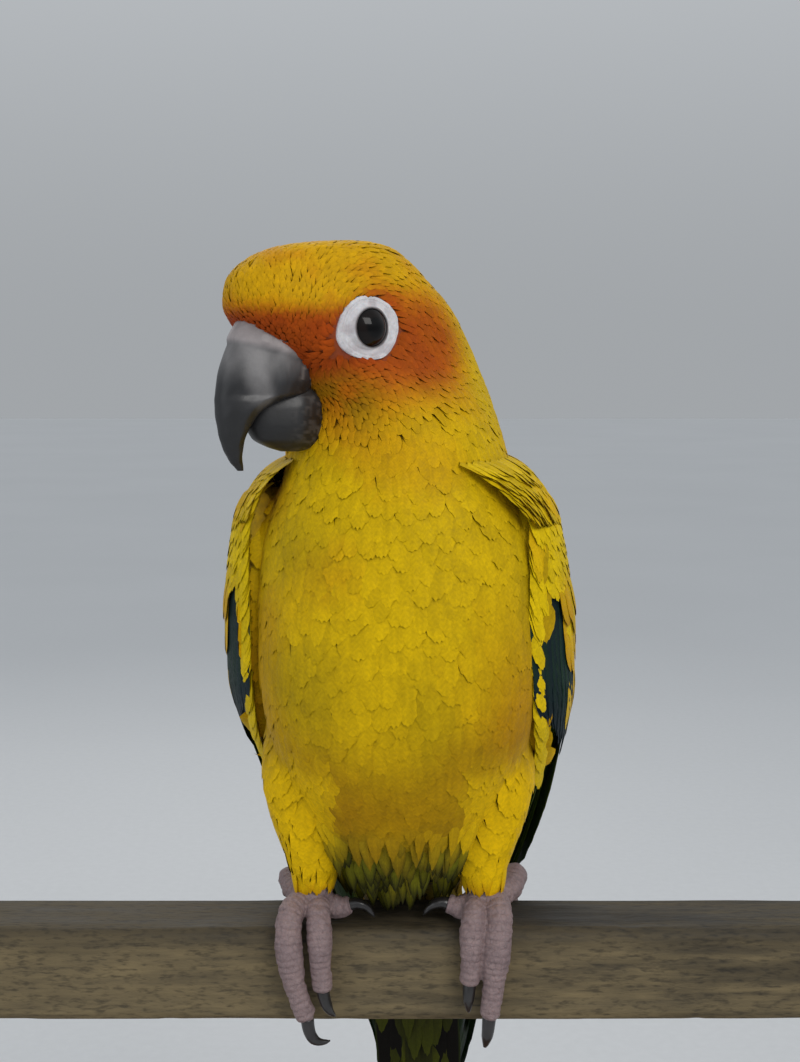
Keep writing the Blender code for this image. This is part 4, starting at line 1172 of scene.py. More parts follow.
def wing_screen():
    """A search tree over both wings' outer surfaces, with the place across the wing of each face."""
    points, faces, places = [], [], []
    across = np.linspace(0, 1, SCREEN_ACROSS)
    heights = np.linspace(WING_STATIONS[0][0], WING_STATIONS[-1][0], SCREEN_ROWS)
    for side in (1, -1):
        first = len(points)
        for z in heights:
            points += wing_point(side, z, across, np.zeros(SCREEN_ACROSS)).tolist()
        for i in range(SCREEN_ROWS - 1):
            for k in range(SCREEN_ACROSS - 1):
                a = first + i * SCREEN_ACROSS + k
                b = a + SCREEN_ACROSS
                faces.append((a, a + 1, b + 1, b))
                places.append((across[k] + across[k + 1]) / 2)
    return BVHTree.FromPolygons(points, faces), np.array(places)


# How far off a wing still hides the skin, between which places across it, and below what height
COVERED_REACH = 11.0
COVERED_ACROSS = (0.16, 0.86)
COVERED_TOP = 79.0


def under_wing(points, normals):
    """Which points lie well under a folded wing, where no feather shows."""
    tree, places = wing_screen()
    hidden = np.zeros(len(points), bool)
    for i, (point, normal) in enumerate(zip(points, normals)):
        hit = tree.ray_cast(point, normal, COVERED_REACH)
        if hit[2] is not None and point[2] < COVERED_TOP:
            hidden[i] = COVERED_ACROSS[0] < places[hit[2]] < COVERED_ACROSS[1]
    return hidden


FACE_LOOK = {
    "width": ((0, 0.4), (0.35, 1), (0.8, 0.9), (1, 0.55)), "round": 0.45, "split": 0.1, "camber": 0.2,
    "thickness": 0.08, "edge_from": 0.5, "root_grey_and_shade": 0.15, "alternate": 0.1, "soft": 0.7,
}
BODY_LOOK = {
    "width": ((0, 0.35), (0.4, 1), (0.8, 0.95), (1, 0.7)), "round": 0.42, "split": 0.08, "camber": 0.22,
    "thickness": 0.12, "edge_from": 0.45, "root_grey_and_shade": 0.15, "sweep": 0.25, "alternate": 0.1, "soft": 0.7,
}

# How far the tips dip back, and how unevenly the coat lies, as shares of its depth
TIP_DROOP = 0.2
RUFFLE = 0.3
RUFFLE_SIZE = 7.0


def small_feathers(points, tree, seed):
    """All that vanes() needs for small feathers rooted at these points of the skin."""
    rng = np.random.default_rng(seed)
    length, half, _ = feather_size(points)
    count = len(points)
    length = length * rng.uniform(0.88, 1.14, count)
    path, outward, ahead = walked(tree, points, length)
    depth = coat_depth(path[:, 0])
    depth = np.where(on_thigh(path[:, 0]), THIGH_COAT, depth)
    steps = np.linspace(0, 1, PATH_STEPS)
    ruffle = 1 - RUFFLE / 2 + RUFFLE * lattice_noise(path[:, 0], RUFFLE_SIZE, 31)
    rise = depth * ruffle * rng.uniform(0.95, 1.05, count)
    height = -0.25 + (rise[:, None] + 0.25) * steps**0.38 - (TIP_DROOP * rise)[:, None] * steps**5
    tone = plumage(path[:, 2]) * rng.uniform(0.88, 1.06, (count, 1))
    end = plumage(path[:, -1]) * rng.uniform(0.96, 1.12, (count, 1))
    return {
        "path": path, "outward": outward, "ahead": ahead, "height": height,
        "length": length, "half": half * rng.uniform(0.9, 1.12, count),
        "roll": rng.normal(0, 0.05, count), "colour": tone, "edge": tone * 1.06, "tip": end,
        "under": tone * 0.85, "chart": body_chart(path[:, 0]),
    }


SIDES = ((1, "left"), (-1, "right"))
FACE_FEATHER = 5.0


def make_coat(tree, roots, material):
    """The small feathers of head, neck, body and thighs."""
    points, normals = roots
    length, _, spacing = feather_size(points)
    kept = thinned(points, spacing)
    points, normals, length = points[kept], normals[kept], length[kept]
    shown = ~under_wing(points, normals)
    points, length = points[shown], length[shown]
    small = length < FACE_FEATHER
    face = small_feathers(points[small], tree, SEED + 1)
    body = small_feathers(points[~small], tree, SEED + 2)
    vanes("feathers_face", face, COLUMNS_SMALL, FACE_ROWS, FACE_LOOK, material["small"])
    vanes("feathers_body", body, COLUMNS_BODY, BODY_ROWS, BODY_LOOK, material["small"])
    make_vent_tufts(material)
    for side, word in SIDES:
        make_trousers(side, f"feathers_thigh_{word}", material)
        make_shoulder(side, f"feathers_shoulder_{word}", material)


LOOSE_BOW = 0.35
LOOSE_LOOK = {
    "width": ((0, 0.5), (0.4, 1), (0.75, 0.7), (1, 0.15)), "round": 0.35, "split": 0.1, "camber": 0.25,
    "thickness": 0.12, "edge_from": 0.5, "root_grey_and_shade": 0.1, "alternate": 0.1, "soft": 0.7,
}
VENT_TUFTS = 190
SHOULDER_TUFTS = 19
SHOULDER_STEPS = 9
SHOULDER_SPAN = 0.36
SHOULDER_BOW = 1.5
SHOULDER_FRONT = {1: 1.05, -1: 0.6}
SHOULDER_LOOK = dict(LOOSE_LOOK, width=((0, 0.6), (0.5, 1), (0.85, 0.9), (1, 0.6)))
TROUSER_TIPS = 34


def loose_feathers(root, tip, outward, half, colour, end, rng):
    """Feathers that hang free of the skin, from rows of their roots, tips and outer sides."""
    steps = np.linspace(0, 1, PATH_STEPS)[None, :, None]
    path = root[:, None] + (tip - root)[:, None] * steps
    path = path + outward[:, None] * (LOOSE_BOW * 4 * steps * (1 - steps))
    ahead = unit(np.gradient(path, axis=1))
    facing = np.repeat(outward[:, None], PATH_STEPS, axis=1)
    facing = unit(facing - ahead * dots(facing, ahead)[..., None])
    count = len(root)
    tone = rng.uniform(0.85, 1.1, (count, 1))
    return {
        "path": path, "outward": facing, "ahead": ahead, "height": np.zeros((count, PATH_STEPS)),
        "length": np.linalg.norm(tip - root, axis=1), "half": half * rng.uniform(0.8, 1.2, count),
        "roll": rng.normal(0, 0.12, count), "colour": colour * tone, "edge": colour * tone,
        "tip": end * tone, "under": colour * 0.7, "chart": body_chart(root),
    }


def make_vent_tufts(material):
    """Loose feathers that hang from the lower belly over the vent, between the legs."""
    rng = np.random.default_rng(SEED + 5)
    z = np.sort(rng.uniform(7.0, 25.0, VENT_TUFTS))
    angle = rng.uniform(-1.05, 1.05, VENT_TUFTS)
    root = body_points(z, angle)
    outward = unit(np.stack([0.6 * np.sin(angle), -np.ones(VENT_TUFTS), np.full(VENT_TUFTS, -0.5)], axis=1))
    root = root - outward * 1.6
    fall = rng.uniform(5.5, 9.5, VENT_TUFTS)
    tip = root + np.stack([-0.12 * root[:, 0], 0.25 * fall, -fall], axis=1)
    tip[:, 2] = np.maximum(tip[:, 2], 0.9 + rng.uniform(0, 1.2, VENT_TUFTS))
    # painted shade: the hanging tufts darken low down, most at their tips
    darker = smooth_step(25.0, 16.0, z) * rng.uniform(0.6, 1.0, VENT_TUFTS)
    colour = mixed(plumage(root + (0, 0, 6.0)), TINTS["vent"], np.clip(0.1 + 1.1 * darker, 0, 1))
    end = mixed(colour, TINTS["vent_shade"], np.clip(1.3 * darker, 0, 0.97))
    half = np.full(VENT_TUFTS, 1.35)
    feathers = loose_feathers(root, tip, outward, half, colour, end, rng)
    vanes("feathers_vent", feathers, COLUMNS_BODY, LOOSE_ROWS, LOOSE_LOOK, material["small"])


def make_shoulder(side, name, material):
    """Rows of small feathers that lead from the foot of the neck over the top of the folded wing."""
    rng = np.random.default_rng(SEED + 60 + side)
    outward = unit(np.array([0.75 * side, -0.1, 0.65]))
    root, tip = [], []
    for row in range(SHOULDER_STEPS):
        places = np.linspace(0, 1, SHOULDER_TUFTS) + 0.5 * (row % 2) / SHOULDER_TUFTS
        share = np.clip(places + rng.normal(0, 0.012, SHOULDER_TUFTS), 0, 1)
        first = SHOULDER_FRONT[side]
        inner = body_points(88.5, side * (first + (2.3 - first) * share))
        outer = wing_point(side, 76.0, 0.42 * share, np.full(SHOULDER_TUFTS, 0.6))
        begin = row / (SHOULDER_STEPS + 1) + rng.normal(0, 0.02, SHOULDER_TUFTS)
        for at, ends, lifted in ((begin, root, -0.5), (begin + SHOULDER_SPAN, tip, 0.25)):
            at = np.clip(at, 0, 1.0)[:, None]
            bow = SHOULDER_BOW * 4 * at * (1 - at) + lifted * (1 - 0.8 * at)
            arch = inner + (outer - inner) * at + outward * bow
            ends.append(arch)
    root, tip = np.concatenate(root), np.concatenate(tip)
    count = len(root)
    colour = mixed(plumage(root), TINTS["covert"], rng.uniform(0.2, 0.8, count))
    facing = np.tile(outward, (count, 1))
    feathers = loose_feathers(root, tip, facing, np.full(count, 1.7), colour, colour * 1.04, rng)
    vanes(name, feathers, COLUMNS_BODY, BODY_ROWS, SHOULDER_LOOK, material["small"])


def make_trousers(side, name, material):
    """The pointed feathers in which each thigh ends, round the top of the shank."""
    rng = np.random.default_rng(SEED + 60 + side)
    turn = np.linspace(0, 2 * np.pi, TROUSER_TIPS, endpoint=False) + rng.normal(0, 0.08, TROUSER_TIPS)
    z = rng.uniform(9.5, 13.0, TROUSER_TIPS)
    x, y, half, depth = np.moveaxis(THIGH.read(z), -1, 0)
    shift = RIGHT_THIGH_SHIFT if side < 0 else 0.0
    outward = np.stack([np.cos(turn), np.sin(turn), np.full(TROUSER_TIPS, -0.25)], axis=1)
    spoke = np.stack([half * np.cos(turn), depth * np.sin(turn)], axis=1)
    middle = np.stack([side * x + shift, y], axis=1)
    root = np.concatenate([middle + 0.86 * spoke, z[:, None]], axis=1)
    outer = np.maximum(side * np.cos(turn), 0)
    end_z = 6.0 - 2.2 * outer + rng.uniform(-0.9, 0.9, TROUSER_TIPS)
    tip = np.concatenate([middle + 0.62 * spoke, end_z[:, None]], axis=1)
    colour = plumage(root)
    feathers = loose_feathers(root, tip, unit(outward), np.full(TROUSER_TIPS, 1.25), colour,
                              mixed(colour, TINTS["mantle"], 0.5), rng)
    vanes(name, feathers, COLUMNS_BODY, LOOSE_ROWS, LOOSE_LOOK, material["small"])


LONG_WIDTH = ((0, 0.35), (0.3, 0.95), (0.66, 0.97), (0.9, 0.75), (1, 0.5))
COVERT_WIDTH = ((0, 0.4), (0.45, 1), (0.86, 0.95), (1, 0.7))
LONG_LOOK = {
    "width": LONG_WIDTH, "round": 0.09, "split": 0.004, "camber": 0.12, "thickness": 0.32,
    "edge_from": 0.35, "ridge": 0.22, "fray": 0.12, "sweep": 0.0, "root_grey_and_shade": 0.2,
}
COVERT_LOOK = {
    "width": COVERT_WIDTH, "round": 0.2, "split": 0.03, "camber": 0.16, "thickness": 0.26,
    "edge_from": 0.3, "ridge": 0.12, "fray": 0.12, "sweep": 0.1, "root_grey_and_shade": 0.3,
}
LARGE_STEPS = 14

# Tiers of the wing, from the flight feathers up: roots and tips as height and place across the wing,
# how high the tips stand, their half width, and the colours of the web, its edges and its tip
WING_TIERS = (
    {"name": "primaries", "count": 9, "root_z": (42, 40, 38), "root_t": (0.12, 0.48),
     "tip_z": (-40, -53, -47, -34, -18, -4), "tip_t": (0.2, 0.45, 0.55, 0.6), "height": -2.2,
     "step": 0.315, "half": 3.1, "look": LONG_LOOK, "colour": "green", "edge": "green_edge", "tip": "blue"},
    {"name": "secondaries", "count": 9, "root_z": (46, 50), "root_t": (0.32, 0.92),
     "tip_z": (2, 8, 16, 24), "tip_t": (0.3, 0.88), "height": 0.9, "step": 0.105, "half": 4.1,
     "look": LONG_LOOK, "colour": "green", "edge": "green_edge", "tip": "green"},
    {"name": "primary_coverts", "count": 8, "root_z": (72, 69), "root_t": (0.03, 0.25),
     "tip_z": (40, 30), "tip_t": (0.03, 0.25), "height": 0.6, "step": 0.1, "half": 2.5,
     "look": COVERT_LOOK, "colour": "blue", "edge": "green", "tip": "blue"},
    {"name": "greater_coverts", "count": 11, "root_z": (58, 62), "root_t": (0.26, 0.9),
     "tip_z": (36, 42), "tip_t": (0.25, 0.88), "height": 1.2, "step": 0.03, "half": 2.9, "uneven": 1.5,
     "look": COVERT_LOOK, "colour": "covert", "edge": "yellow", "tip": "covert"},
    {"name": "median_coverts", "count": 15, "root_z": (66, 69), "root_t": (0.22, 0.9),
     "tip_z": (49, 54), "tip_t": (0.22, 0.89), "height": 1.1, "step": 0.012, "half": 2.3, "uneven": 1.4,
     "look": COVERT_LOOK, "colour": "covert", "edge": "yellow", "tip": "yellow"},
    {"name": "upper_coverts", "count": 16, "root_z": (72, 74), "root_t": (0.2, 0.9),
     "tip_z": (57, 61), "tip_t": (0.21, 0.89), "height": 1.2, "step": 0.01, "half": 2.2, "uneven": 1.4,
     "look": COVERT_LOOK, "colour": "covert", "edge": "yellow", "tip": "yellow"},
)
UNEVEN_TIPS = 0.5
WING_ROLL = 0.12
ROOT_HEIGHT = -0.8
EDGE_ROWS = ((0.0, 83, 34, 32), (0.035, 82, 68, 9), (0.08, 81, 74, 5))
BLUE_REACH = 0.22
BLUE_TOP = 69.0
EDGE_LENGTH = 9.0
EDGE_HALF = 1.7
# Rows of small coverts over the shoulder: the highest and lowest root, their number and their size
SHOULDER_TOP = 84.0
SHOULDER_BOTTOM = 61.0
SHOULDER_ROWS = 11
SHOULDER_COUNT = 17
SHOULDER_LENGTH = 8.0
SHOULDER_HALF = 1.9
COVERT_DROOP = 0.3


def spread(values, at):
    return np.interp(np.asarray(at) * (len(values) - 1), range(len(values)), values)


def wing_feathers(side, root, tip, heights, half, colours, rng):
    """Feathers given by root and tip rows of (height up the wing, place across it)."""
    steps = np.linspace(0, 1, LARGE_STEPS)[None, :]
    z = np.minimum(root[:, :1] + (tip[:, :1] - root[:, :1]) * steps, WING_STATIONS[0][0] - 0.4)
    t = np.clip(root[:, 1:] + (tip[:, 1:] - root[:, 1:]) * steps, 0, 1)
    path = wing_point(side, z, t, np.zeros_like(z))
    outward = wing_outward(side, z, t)
    ahead = unit(np.gradient(path, axis=1))
    rise = ROOT_HEIGHT + (heights[:, None] - ROOT_HEIGHT) * steps**0.5 - COVERT_DROOP * steps**8
    length = np.linalg.norm(path[:, -1] - path[:, 0], axis=1)
    count = len(root)
    tone = rng.uniform(0.88, 1.1, (count, 1))
    chart = np.stack([0.03 + 0.94 * root[:, 1], 0.03 + 0.94 * (root[:, 0] + 55) / 142], axis=1)
    return {
        "path": path, "outward": outward, "ahead": ahead, "height": rise, "length": length,
        "half": half * rng.uniform(0.94, 1.06, count), "roll": np.full(count, side * WING_ROLL),
        "colour": colours[0] * tone, "edge": colours[1] * tone, "tip": colours[2] * tone,
        "under": np.tile(0.7 * TINTS["green"], (count, 1)), "chart": chart,
    }


def tinted(keys, count):
    """Named colours, each repeated for a number of feathers."""
    return [np.tile(TINTS[key], (count, 1)) for key in keys]


def tier_feathers(side, tier, rng):
    """The feathers of one of the wing's tiers."""
    count = tier["count"]
    at = np.arange(count) / (count - 1)
    root = np.stack([spread(tier["root_z"], at), spread(tier["root_t"], at)], axis=1)
    tip = np.stack([spread(tier["tip_z"], at), spread(tier["tip_t"], at)], axis=1)
    tip[:, 0] += rng.normal(0, tier.get("uneven", UNEVEN_TIPS), count)
    heights = tier["height"] + tier["step"] * np.arange(count)
    colours = tinted((tier["colour"], tier["edge"], tier["tip"]), count)
    if "uneven" in tier:
        tip[:, 1] += rng.normal(0, 0.012, count)
        heights = heights + rng.uniform(-0.1, 0.1, count)
        warm = rng.uniform(0.0, 0.7, count)
        colours = [mixed(colour, TINTS["mantle"], warm * share)
                   for colour, share in zip(colours, (0.6, 0.8, 0.8))]
    if tier["name"] == "greater_coverts":
        colours[0] = mixed(colours[0], TINTS["green"], 0.8 * smooth_step(0.2, 0.7, at))
    if tier["name"] == "secondaries":
        colours[1] = mixed(colours[1], TINTS["yellow"], 0.4 * at)
    return wing_feathers(side, root, tip, heights, np.full(count, tier["half"]), colours, rng)


def small_coverts(side, rng):
    """The small coverts along the wing's front edge and in rows over the shoulder."""
    root, tip, half, height = [], [], [], []
    for place, top, bottom, count in EDGE_ROWS:
        for z in np.linspace(top, bottom, count):
            start = z + rng.normal(0, 1.0)
            root.append((start, place + abs(rng.normal(0, 0.006))))
            end = start - EDGE_LENGTH * rng.uniform(0.8, 1.15)
            tip.append((end, place + 0.015 + abs(rng.normal(0, 0.01))))
            half.append(EDGE_HALF)
            height.append(0.75 + rng.uniform(-0.2, 0.2))
    for row in range(SHOULDER_ROWS):
        share = row / (SHOULDER_ROWS - 1)
        offset = 0.5 * (row % 2) / SHOULDER_COUNT
        for place in np.linspace(0.1, 0.93, SHOULDER_COUNT) + offset:
            start = SHOULDER_TOP + (SHOULDER_BOTTOM - SHOULDER_TOP) * share + rng.normal(0, 0.5)
            if start < BLUE_TOP and place < BLUE_REACH:
                continue
            root.append((start, place + rng.normal(0, 0.006)))
            tip.append((start - SHOULDER_LENGTH * rng.uniform(0.85, 1.1), place))
            half.append(SHOULDER_HALF)
            height.append(1.0)
    root, tip = np.array(root), np.array(tip)
    count = len(root)
    places = wing_point(side, root[:, 0], root[:, 1], np.zeros(count))
    warm = 0.4 * smooth_step(0.45, 0.75, lattice_noise(places, 6.0, 33))
    warm = warm * smooth_step(64, 76, root[:, 0])
    base = mixed(np.tile(TINTS["covert"], (count, 1)), TINTS["mantle"], warm)
    colours = [base, mixed(base, TINTS["covert"], 0.5), base * 1.04]
    feathers = wing_feathers(side, root, tip, np.array(height), np.array(half), colours, rng)
    feathers["under"] = base * 0.8
    return feathers


def make_wing(side, name, material):
    rng = np.random.default_rng(SEED + 20 + side)
    for tier in WING_TIERS:
        feathers = tier_feathers(side, tier, rng)
        rows = LONG_ROWS if tier["look"] is LONG_LOOK else COVERT_ROWS
        piece = f"{name}_{tier['name']}"
        vanes(piece, feathers, COLUMNS_LARGE, rows, tier["look"], material["large"])
    feathers = small_coverts(side, rng)
    piece = f"{name}_small_coverts"
    vanes(piece, feathers, COLUMNS_BODY, LOOSE_ROWS, BODY_LOOK, material["small"])


TAIL_LENGTHS = (1.0, 0.9, 0.8, 0.7, 0.61, 0.53)
TAIL_HALF = 3.3

# Coverts over and under the tail's foot: the face they lie on, how many lie across, their half width
# and unevenness; the colours of web, edge, tip and underside, what they turn to and by how much; and
# for each row how far along the tail its tips lie and how high
TAIL_COVERTS = (
    {"name": "tail_coverts_over", "facing": 1, "across": 8, "half": 1.9, "uneven": 0.022,
     "colours": ("mantle", "green_edge", "green", "vent"), "towards": "yellow", "fade": (0.3, 0.1),
     "least": 0.7, "shares": (0.5, 0.8, 0.95, 0.0),
     "rows": ((0.37, 3.4), (0.32, 3.75), (0.26, 4.1), (0.2, 4.4), (0.15, 4.7), (0.1, 5.0))},
    # the under coverts turn at their ends to the tail's dark underside with painted shade
    {"name": "tail_coverts_under", "facing": -1, "across": 9, "half": 1.7, "uneven": 0.014,
     "colours": ("vent", "vent", "green_edge", "vent"), "towards": "tail_under_dark_and_shade", "fade": (0.05, 0.14),
     "least": 0.86, "shares": (0.97, 0.94, 0.9, 1.0),
     "rows": ((0.42, 3.9), (0.35, 4.4), (0.27, 4.9), (0.19, 5.3), (0.12, 5.6))},
)


def tail_feathers(start, end, offsets, heights, half, colours, rng):
    """Feathers of the tail from arrays of their roots and tips along it, offsets and heights."""
    steps = np.linspace(0, 1, LARGE_STEPS)[None, :]
    along = start[:, None] + (end - start)[:, None] * steps
    sideways = offsets[:, :1] + (offsets[:, 1:] - offsets[:, :1]) * steps
    path = tail_place(along, sideways, np.zeros_like(along))
    _, _, back = tail_axes()
    count = len(start)
    outward = np.broadcast_to(back, path.shape).copy()
    ahead = unit(np.gradient(path, axis=1))
    rise = heights[:, :1] + (heights[:, 1:] - heights[:, :1]) * steps**0.7
    length = np.linalg.norm(path[:, -1] - path[:, 0], axis=1)
    tone = rng.uniform(0.88, 1.1, (count, 1))
    chart = np.stack([0.5 + offsets[:, 0] / 24, 0.05 + 0.9 * np.clip(start, 0, 1)], axis=1)
    return {
        "path": path, "outward": outward, "ahead": ahead, "height": rise, "length": length,
        "half": half * rng.uniform(0.95, 1.05, count), "roll": np.zeros(count),
        "colour": colours[0] * tone, "edge": colours[1] * tone, "tip": colours[2] * tone,
        "under": colours[3] * tone, "chart": chart,
    }


def turned_over(feathers):
    """The same feathers with their outer side facing the tail's front."""
    over = dict(feathers)
    over["outward"] = -feathers["outward"]
    over["height"] = -feathers["height"]
    over["roll"] = -feathers["roll"]
    return over


def tail_fan(rng):
    """The long feathers of the tail, in pairs that grow shorter and lie lower outwards."""
    start, end, offsets, heights = [], [], [], []
    for pair, length in enumerate(TAIL_LENGTHS):
        for side in (-1, 1):
            offset = side * (3.1 + 0.68 * pair) * (0.4 if pair == 0 else 1.0)
            drop = 1.6 - 0.85 * pair + (0.85 if pair == 0 and side > 0 else 0.0)
            start.append(0.04)
            end.append(length)
            offsets.append((offset, offset * 0.8))
            heights.append((drop, drop))
    count = len(start)
    # the tail's undersides take the dark colour deepened with painted shade
    colours = tinted(("tail_green", "tail_green", "tail_blue", "tail_under_dark_and_shade"), count)
    return tail_feathers(np.array(start), np.array(end), np.array(offsets), np.array(heights),
                         np.full(count, TAIL_HALF), colours, rng)


def tail_coverts(tier, rng):
    """The coverts on one face of the tail's foot."""
    facing = tier["facing"]
    start, end, offsets, heights = [], [], [], []
    for row, (reach, height) in enumerate(tier["rows"]):
        for place in np.linspace(-1, 1, tier["across"] + row % 2):
            start.append(reach - 0.26)
            end.append(reach - 0.06 * abs(place) + rng.normal(0, tier["uneven"]))
            shift = rng.normal(0, 0.25)
            offsets.append((5.8 * place + shift, 6.4 * place + 2 * shift))
            low = height - 2.6
            heights.append((facing * (low - 0.9 * abs(place)), facing * (height - 1.5 * abs(place))))
    count = len(start)
    turned_by = smooth_step(*tier["fade"], np.array(end)) * rng.uniform(tier["least"], 1.0, count)
    colours = [mixed(colour, TINTS[tier["towards"]], turned_by * share)
               for colour, share in zip(tinted(tier["colours"], count), tier["shares"])]
    feathers = tail_feathers(np.array(start), np.array(end), np.array(offsets), np.array(heights),
                             np.full(count, tier["half"]), colours, rng)
    return turned_over(feathers) if facing < 0 else feathers


def make_tail(material):
    rng = np.random.default_rng(SEED + 40)
    large = material["large"]
    vanes("tail_feathers", tail_fan(rng), COLUMNS_LARGE, TAIL_ROWS, LONG_LOOK, large)
    for tier in TAIL_COVERTS:
        feathers = tail_coverts(tier, rng)
        vanes(tier["name"], feathers, COLUMNS_BODY, TAIL_COVERT_ROWS, COVERT_LOOK, large)


def tint_points(obj, colours):
    """Stores a colour for each point, which the piece's material varies."""
    tint = obj.data.attributes.new("Tint", "FLOAT_COLOR", "POINT")
    opaque = np.concatenate([colours, np.ones((len(colours), 1))], axis=1)
    tint.data.foreach_set("color", opaque.astype(np.float32).ravel())


BILL_COLOURS = {
    "horn": linear((0.145, 0.145, 0.155)),
    # pale grey of the bill's paler parts, also used for a painted highlight
    "pale_and_highlight": linear((0.48, 0.47, 0.47)),
    "edge": linear((0.07, 0.07, 0.075)),
    "cere": linear((0.56, 0.53, 0.53)),
    "rough": linear((0.60, 0.57, 0.55)),
}


def bill_half(name, stations, levels=90, around=80):
    """One half of the bill, from level sections in the head's own frame."""
    table = Table(stations)
    angles = np.linspace(0, 2 * np.pi, around, endpoint=False)
    rings = []
    for z in np.linspace(stations[0][0], stations[-1][0], levels):
        front, back, half = table.read(z)
        forward = (front + back) / 2 + (front - back) / 2 * np.cos(angles)
        ridge = 1 - BILL_RIDGE * np.maximum(np.cos(angles), 0)
        across = half * ridge * signed_power(np.sin(angles), 0.8)
        rings.append(head_point(forward, across, z))
    return loft(name, rings)


def make_upper_bill():
    """The upper bill with its cere, nostrils, a painted highlight band down its front and flaking gape."""
    upper = bill_half("bill_upper_horn", UPPER_BILL)
    points, normals = vertices_of(upper), normals_of(upper)
    head = head_frame(points)
    f, z = head[:, 0], head[:, 2]
    cere_line = 107.6 + 0.25 * (f - 21.0)
    cere = smooth_step(cere_line - 0.5, cere_line + 0.6, z)
    ripple = np.sin(head[:, 0] * 2.6 + head[:, 2] * 1.7) * 0.03
    chips = 0.12 * (lattice_noise(points, 1.1, 6) - 0.5) * smooth_step(17, 13, f)
    rise = 0.45 * cere + ripple * (1 - cere) + chips
    for side in (1, -1):
        away = np.linalg.norm(head - (NOSTRIL_PLACE[0], side * NOSTRIL_PLACE[1], NOSTRIL_PLACE[2]), axis=1)
        rise = rise - 0.9 * smooth_step(1.0, 0.35, away) + 0.16 * smooth_step(1.7, 1.1, away)
    set_vertices(upper, points + normals * rise[:, None])
    streak = lattice_noise(head * (0.5, 1.0, 0.35), 1.2, 9)
    blotch = lattice_noise(points, 2.6, 35)
    darker = 1 - 0.4 * smooth_step(106, 96, z)
    colour = np.tile(BILL_COLOURS["horn"], (len(points), 1)) * (darker * (0.6 + 0.6 * blotch))[:, None]
    # painted highlight: a pale band of reflected light down the front of the upper bill
    pale_and_highlight = smooth_step(3.0, 0.6, np.abs(f - (22.8 - 0.02 * (106 - z) ** 2))) * smooth_step(95, 102, z)
    colour = mixed(colour, BILL_COLOURS["pale_and_highlight"], 0.85 * pale_and_highlight * (0.5 + 0.5 * streak))
    pale = smooth_step(101, 106.5, z) * (0.35 + 0.4 * streak)
    colour = mixed(colour, BILL_COLOURS["pale_and_highlight"], pale)
    colour = mixed(colour, BILL_COLOURS["edge"], smooth_step(98, 92, z) * 0.7)
    flakes = smooth_step(0.5, 0.62, lattice_noise(points, 0.9, 34))
    gape = smooth_step(15.5, 12.2, f) * smooth_step(107.5, 104, z) * smooth_step(99, 102, z)
    colour = mixed(colour, BILL_COLOURS["rough"], 0.85 * gape * flakes)
    colour = mixed(colour, BILL_COLOURS["cere"], cere)
    tint_points(upper, colour * (0.82 + 0.36 * streak)[:, None])
    return upper


def make_lower_bill():
    """The lower bill, darker than the upper one."""
    lower = bill_half("bill_lower_horn", LOWER_BILL, 60)
    points = vertices_of(lower)
    streak = lattice_noise(points, 1.3, 10)
    colour = np.tile(BILL_COLOURS["horn"], (len(points), 1)) * 0.6
    head = head_frame(points)
    colour = mixed(colour, BILL_COLOURS["pale_and_highlight"], 0.15 * smooth_step(95, 99, head[:, 2]))
    flakes = smooth_step(0.5, 0.7, lattice_noise(points, 0.6, 36)) * smooth_step(17, 12, head[:, 0])
    colour = mixed(colour, BILL_COLOURS["rough"], 0.2 * flakes)
    tint_points(lower, colour * (0.4 + 0.4 * streak)[:, None])
    return lower


def make_bill(material):
    for obj, node in ((make_upper_bill(), "bill_upper"), (make_lower_bill(), "bill_lower")):
        obj.data.materials.append(material)
        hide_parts(node)
        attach(obj, "root")


IRIS = 3.0
PUPIL = 1.75
EYE_TINTS = {
    "pupil": linear((0.012, 0.010, 0.012)),
    "iris": linear((0.075, 0.05, 0.04)),
    "rim": linear((0.03, 0.025, 0.025)),
}


def make_eye(side, name, node, material):
    bm = bmesh.new()
    bmesh.ops.create_uvsphere(bm, u_segments=72, v_segments=48, radius=EYE_RADIUS)
    mesh = bpy.data.meshes.new(name)
    bm.to_mesh(mesh)
    bm.free()
    obj = linked(name, mesh)
    mesh.polygons.foreach_set("use_smooth", np.ones(len(mesh.polygons), bool))
    co = np.empty(len(mesh.vertices) * 3, np.float32)
    mesh.vertices.foreach_get("co", co)
    local = co.reshape(-1, 3).astype(float)
    # The sphere's pole looks out of the head.
    outward = head_direction(0.0, side, 0.0)
    forward = head_direction(1.0, 0.0, 0.0)
    upward = np.cross(outward, forward)
    upward = upward * np.sign(upward[2])
    centre = head_point(EYE_FORWARD, side * EYE_SIDE, EYE_HEIGHT)
    far = np.hypot(local[:, 0], local[:, 1])
    bulge = 1 + 0.035 * smooth_step(IRIS, 0.0, far) * (local[:, 2] > 0)
    local = local * bulge[:, None]
    points = centre + local[:, :1] * forward + local[:, 1:2] * upward + local[:, 2:] * outward
    set_vertices(obj, points)
    face_outward(mesh)
    front = local[:, 2] > 0
    colour = np.tile(EYE_TINTS["rim"], (len(points), 1))
    round_eye = np.arctan2(local[:, 1], local[:, 0])
    spokes = 0.75 + 0.5 * lattice_noise(np.stack([round_eye * 5, far * 0.6, far * 0], axis=1), 1.0, 12)
    iris = EYE_TINTS["iris"] * spokes[:, None]
    colour = mixed(colour, iris, smooth_step(IRIS + 0.1, IRIS - 0.25, far) * front)
    colour = mixed(colour, EYE_TINTS["pupil"], smooth_step(PUPIL + 0.1, PUPIL - 0.1, far) * front)
    tint_points(obj, colour)
    mesh.materials.append(material)
    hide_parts(node)
    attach(obj, "root")


LID_AROUND = 120
LID_RINGS = 26
LID_DEPTH = 1.4
LID_THICKNESS = 0.25
LID_TINTS = {
    "pale": linear((0.84, 0.83, 0.84)),
    "blotch": linear((0.70, 0.66, 0.67)),
    "edge": linear((0.28, 0.25, 0.25)),
}


